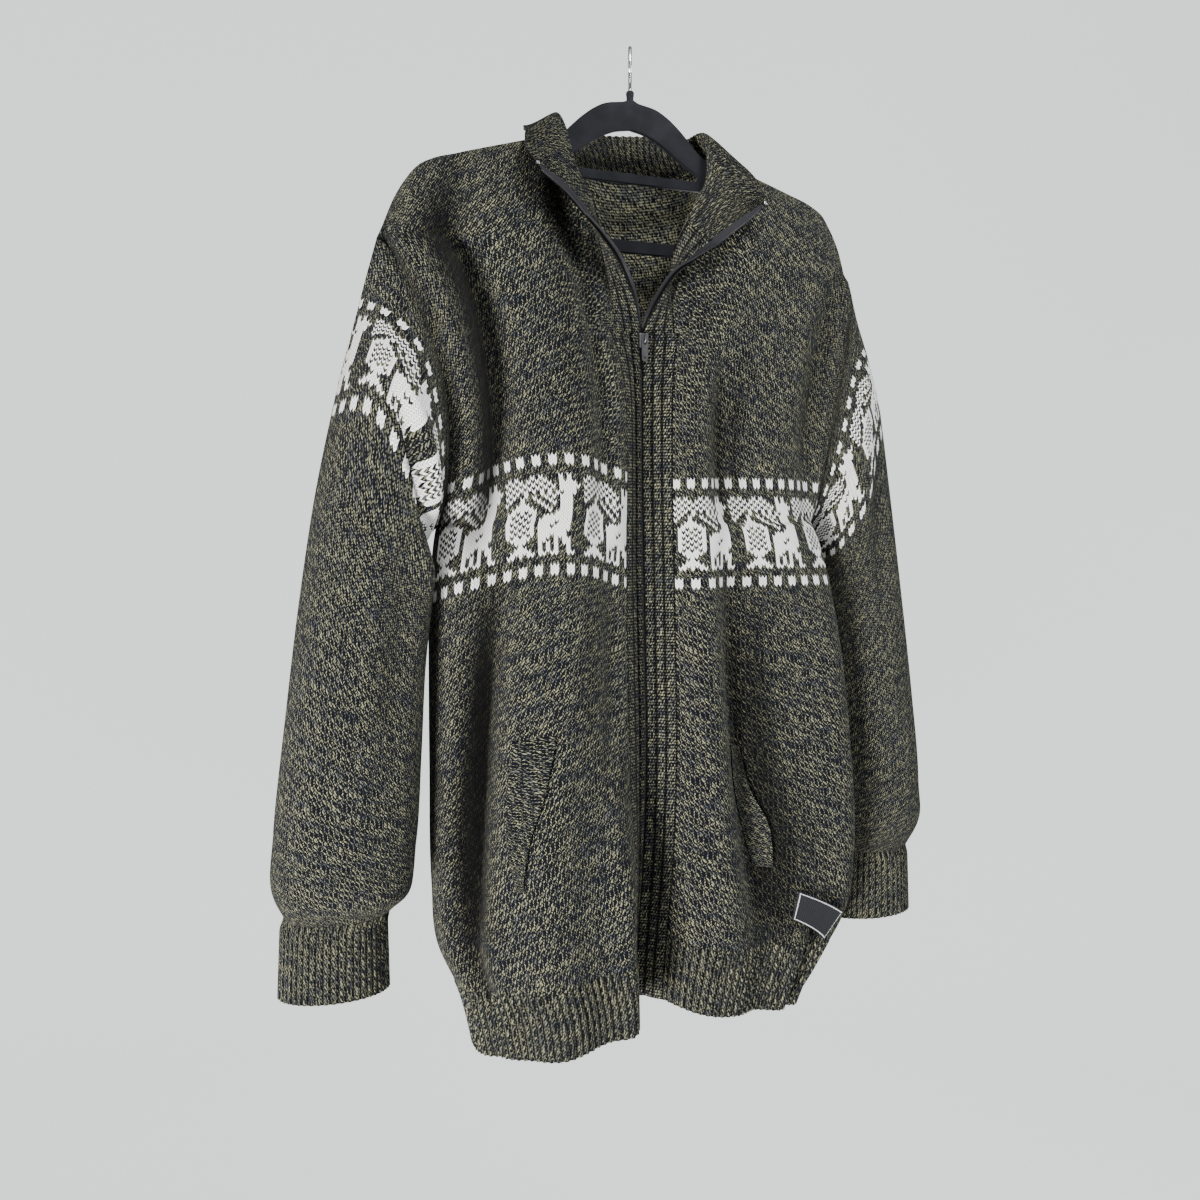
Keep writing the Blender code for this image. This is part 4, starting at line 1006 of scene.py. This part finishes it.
# Hanger moulding: half outlines in mm, smoothed, with rounded edges.
hanger = {
    "thick": 0.0054, "round": 0.0022,
    "outline": (
        (2.5, -44), (6, -46), (12, -47.3), (18, -48.2), (24.3, -49.7), (36, -55.6), (47, -64),
        (58, -74.5), (66, -82.8), (78, -90.3), (100, -97.2), (120, -103.2), (160, -115.7),
        (174, -121.2), (180, -126.5), (182, -132), (179.5, -137.5), (171, -143), (166, -152),
        (160, -168), (151, -177), (140, -179.5)),
    "window": (
        (0, -70.5), (14.9, -73.5), (30, -80.5), (45.9, -91.2), (60, -100), (67, -105.5),
        (64, -109.5)),
    "opening": (
        (70, -118), (82, -113), (100, -112), (125, -119.5), (148, -127), (153.5, -132),
        (153, -148), (147, -162), (138, -168.5)),
}


def smoothLoop(half):
    # Cubic curve through one half, even steps, then its mirror image.
    half = np.array(half) / 1000
    knots = lengthDown(half)
    curve = flow(knots, half, np.linspace(0, knots[-1], len(half) * 4))
    mirror = curve[::-1] * (-1, 1)
    return np.concatenate([curve, mirror[mirror[:, 0] < -1e-6]])


shape = bmesh.new()
for key in ("outline", "window", "opening"):
    corners = [shape.verts.new((x, -hanger["thick"] / 2, z)) for x, z in smoothLoop(hanger[key])]
    for k, corner in enumerate(corners):
        shape.edges.new((corner, corners[(k + 1) % len(corners)]))
bmesh.ops.triangle_fill(shape, use_beauty=True, edges=shape.edges[:])
grown = bmesh.ops.extrude_face_region(shape, geom=shape.faces[:])["geom"]
bmesh.ops.translate(shape, verts=[part for part in grown if isinstance(part, bmesh.types.BMVert)],
                    vec=(0, hanger["thick"], 0))
bmesh.ops.recalc_face_normals(shape, faces=shape.faces[:])
mesh = bpy.data.meshes.new("velvet_hanger")
shape.to_mesh(mesh)
shape.free()
mesh.materials.append(velvet.material)
moulding = addObject("velvet_hanger", mesh)
bevel = moulding.modifiers.new("round", "BEVEL")
bevel.width = hanger["round"]
bevel.segments = 4
bevel.limit_method = "ANGLE"
bevel.angle_limit = math.radians(60)
mesh.polygons.foreach_set("use_smooth", np.abs([face.normal.y for face in mesh.polygons]) < 0.5)
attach(moulding, "cardigan")
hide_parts("hanger_frame")

# Hard pieces that keep their own form.
finishes = {
    "hanger_ferrule": velvet, "hanger_hook": chrome,
    "zip_slider": gunmetal, "zip_pull_tab": gunmetal, "zip_box": gunmetal,
    "zip_top_stop_right": silver, "zip_top_stop_left": silver,
}
for node, finish in finishes.items():
    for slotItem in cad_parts[node].material_slots:
        slotItem.material = finish.material
print("hard pieces finished")

# Floor and backdrop in one: a disc that bends up into a round wall.
studio = {
    "floorZ": -1.75, "radius": 3.4, "wallHigh": 5.5, "bend": 1.2,
    "pale": {"Base_Color": (0.231, 0.239, 0.235), "Emission_Color": (0.64, 0.668, 0.66),
             "Emission_Strength": 1.75, "Specular_IOR_Level": 0.0},
    "world": ((0.93, 0.96, 1.0, 1), 0.29),
    # Softboxes: place, aim, width and height, watts, colour.
    "lights": {
        "key": ((-1.58, -1.0, -1.5), (0, 0, -0.72), (0.55, 0.9), 126, (1.0, 0.985, 0.955)),
        "front": ((-0.2, -2.3, 0.9), (0, 0, -0.25), (1.0, 1.0), 26, (1, 1, 1)),
        "side": ((2.2, -1.2, -0.7), (0, 0, -0.6), (1.2, 1.4), 52, (0.95, 0.98, 1.0)),
        "back": ((0.9, 2.6, 0.3), (0, 0, -0.45), (1.4, 1.4), 60, (1, 1, 1)),
        "neck": ((0, -1.3, 0.95), (0, 0.05, -0.2), (0.5, 0.5), 26, (1, 1, 1)),
        "top": ((-0.2, -0.5, 1.6), (0, 0, -0.1), (1.4, 1.0), 11, (1, 1, 1)),
    },
}
bend, inner = studio["bend"], studio["radius"] - studio["bend"]
angle = np.linspace(0, math.pi / 2, 13)
radii = np.concatenate([(0.02, 1.0), inner + bend * np.sin(angle), (studio["radius"],)])
heights = np.concatenate([(0, 0), bend * (1 - np.cos(angle)), (studio["wallHigh"],)])
turns = np.linspace(0, 2 * math.pi, 97)[:-1, None]
points = np.stack([radii * np.cos(turns), radii * np.sin(turns),
                   studio["floorZ"] + heights + 0 * turns], -1)
faces = cells(len(turns), len(radii), True).reshape(-1, 4).tolist()
faces.append((np.arange(len(turns))[::-1] * len(radii)).tolist())
pale = Finish("pale_studio", 0.9, **studio["pale"])
backdrop = meshPiece("studio_floor", points, faces, pale.material)
backdrop.visible_shadow = backdrop.visible_diffuse = backdrop.visible_glossy = False

world = bpy.data.worlds.new("studio")
bpy.context.scene.world = world
world.use_nodes = True
for socket, value in zip(world.node_tree.nodes["Background"].inputs, studio["world"]):
    socket.default_value = value
for name, (place, aim, size, power, colour) in studio["lights"].items():
    light = bpy.data.lights.new(name, "AREA")
    light.shape = "RECTANGLE"
    light.size, light.size_y = size
    light.energy = power
    light.color = colour
    item = addObject(name, light)
    item.location = place
    x, y, z = np.subtract(aim, place)
    item.rotation_euler = (math.atan2(math.hypot(x, y), -z), 0, math.atan2(-x, y))
print("studio made")
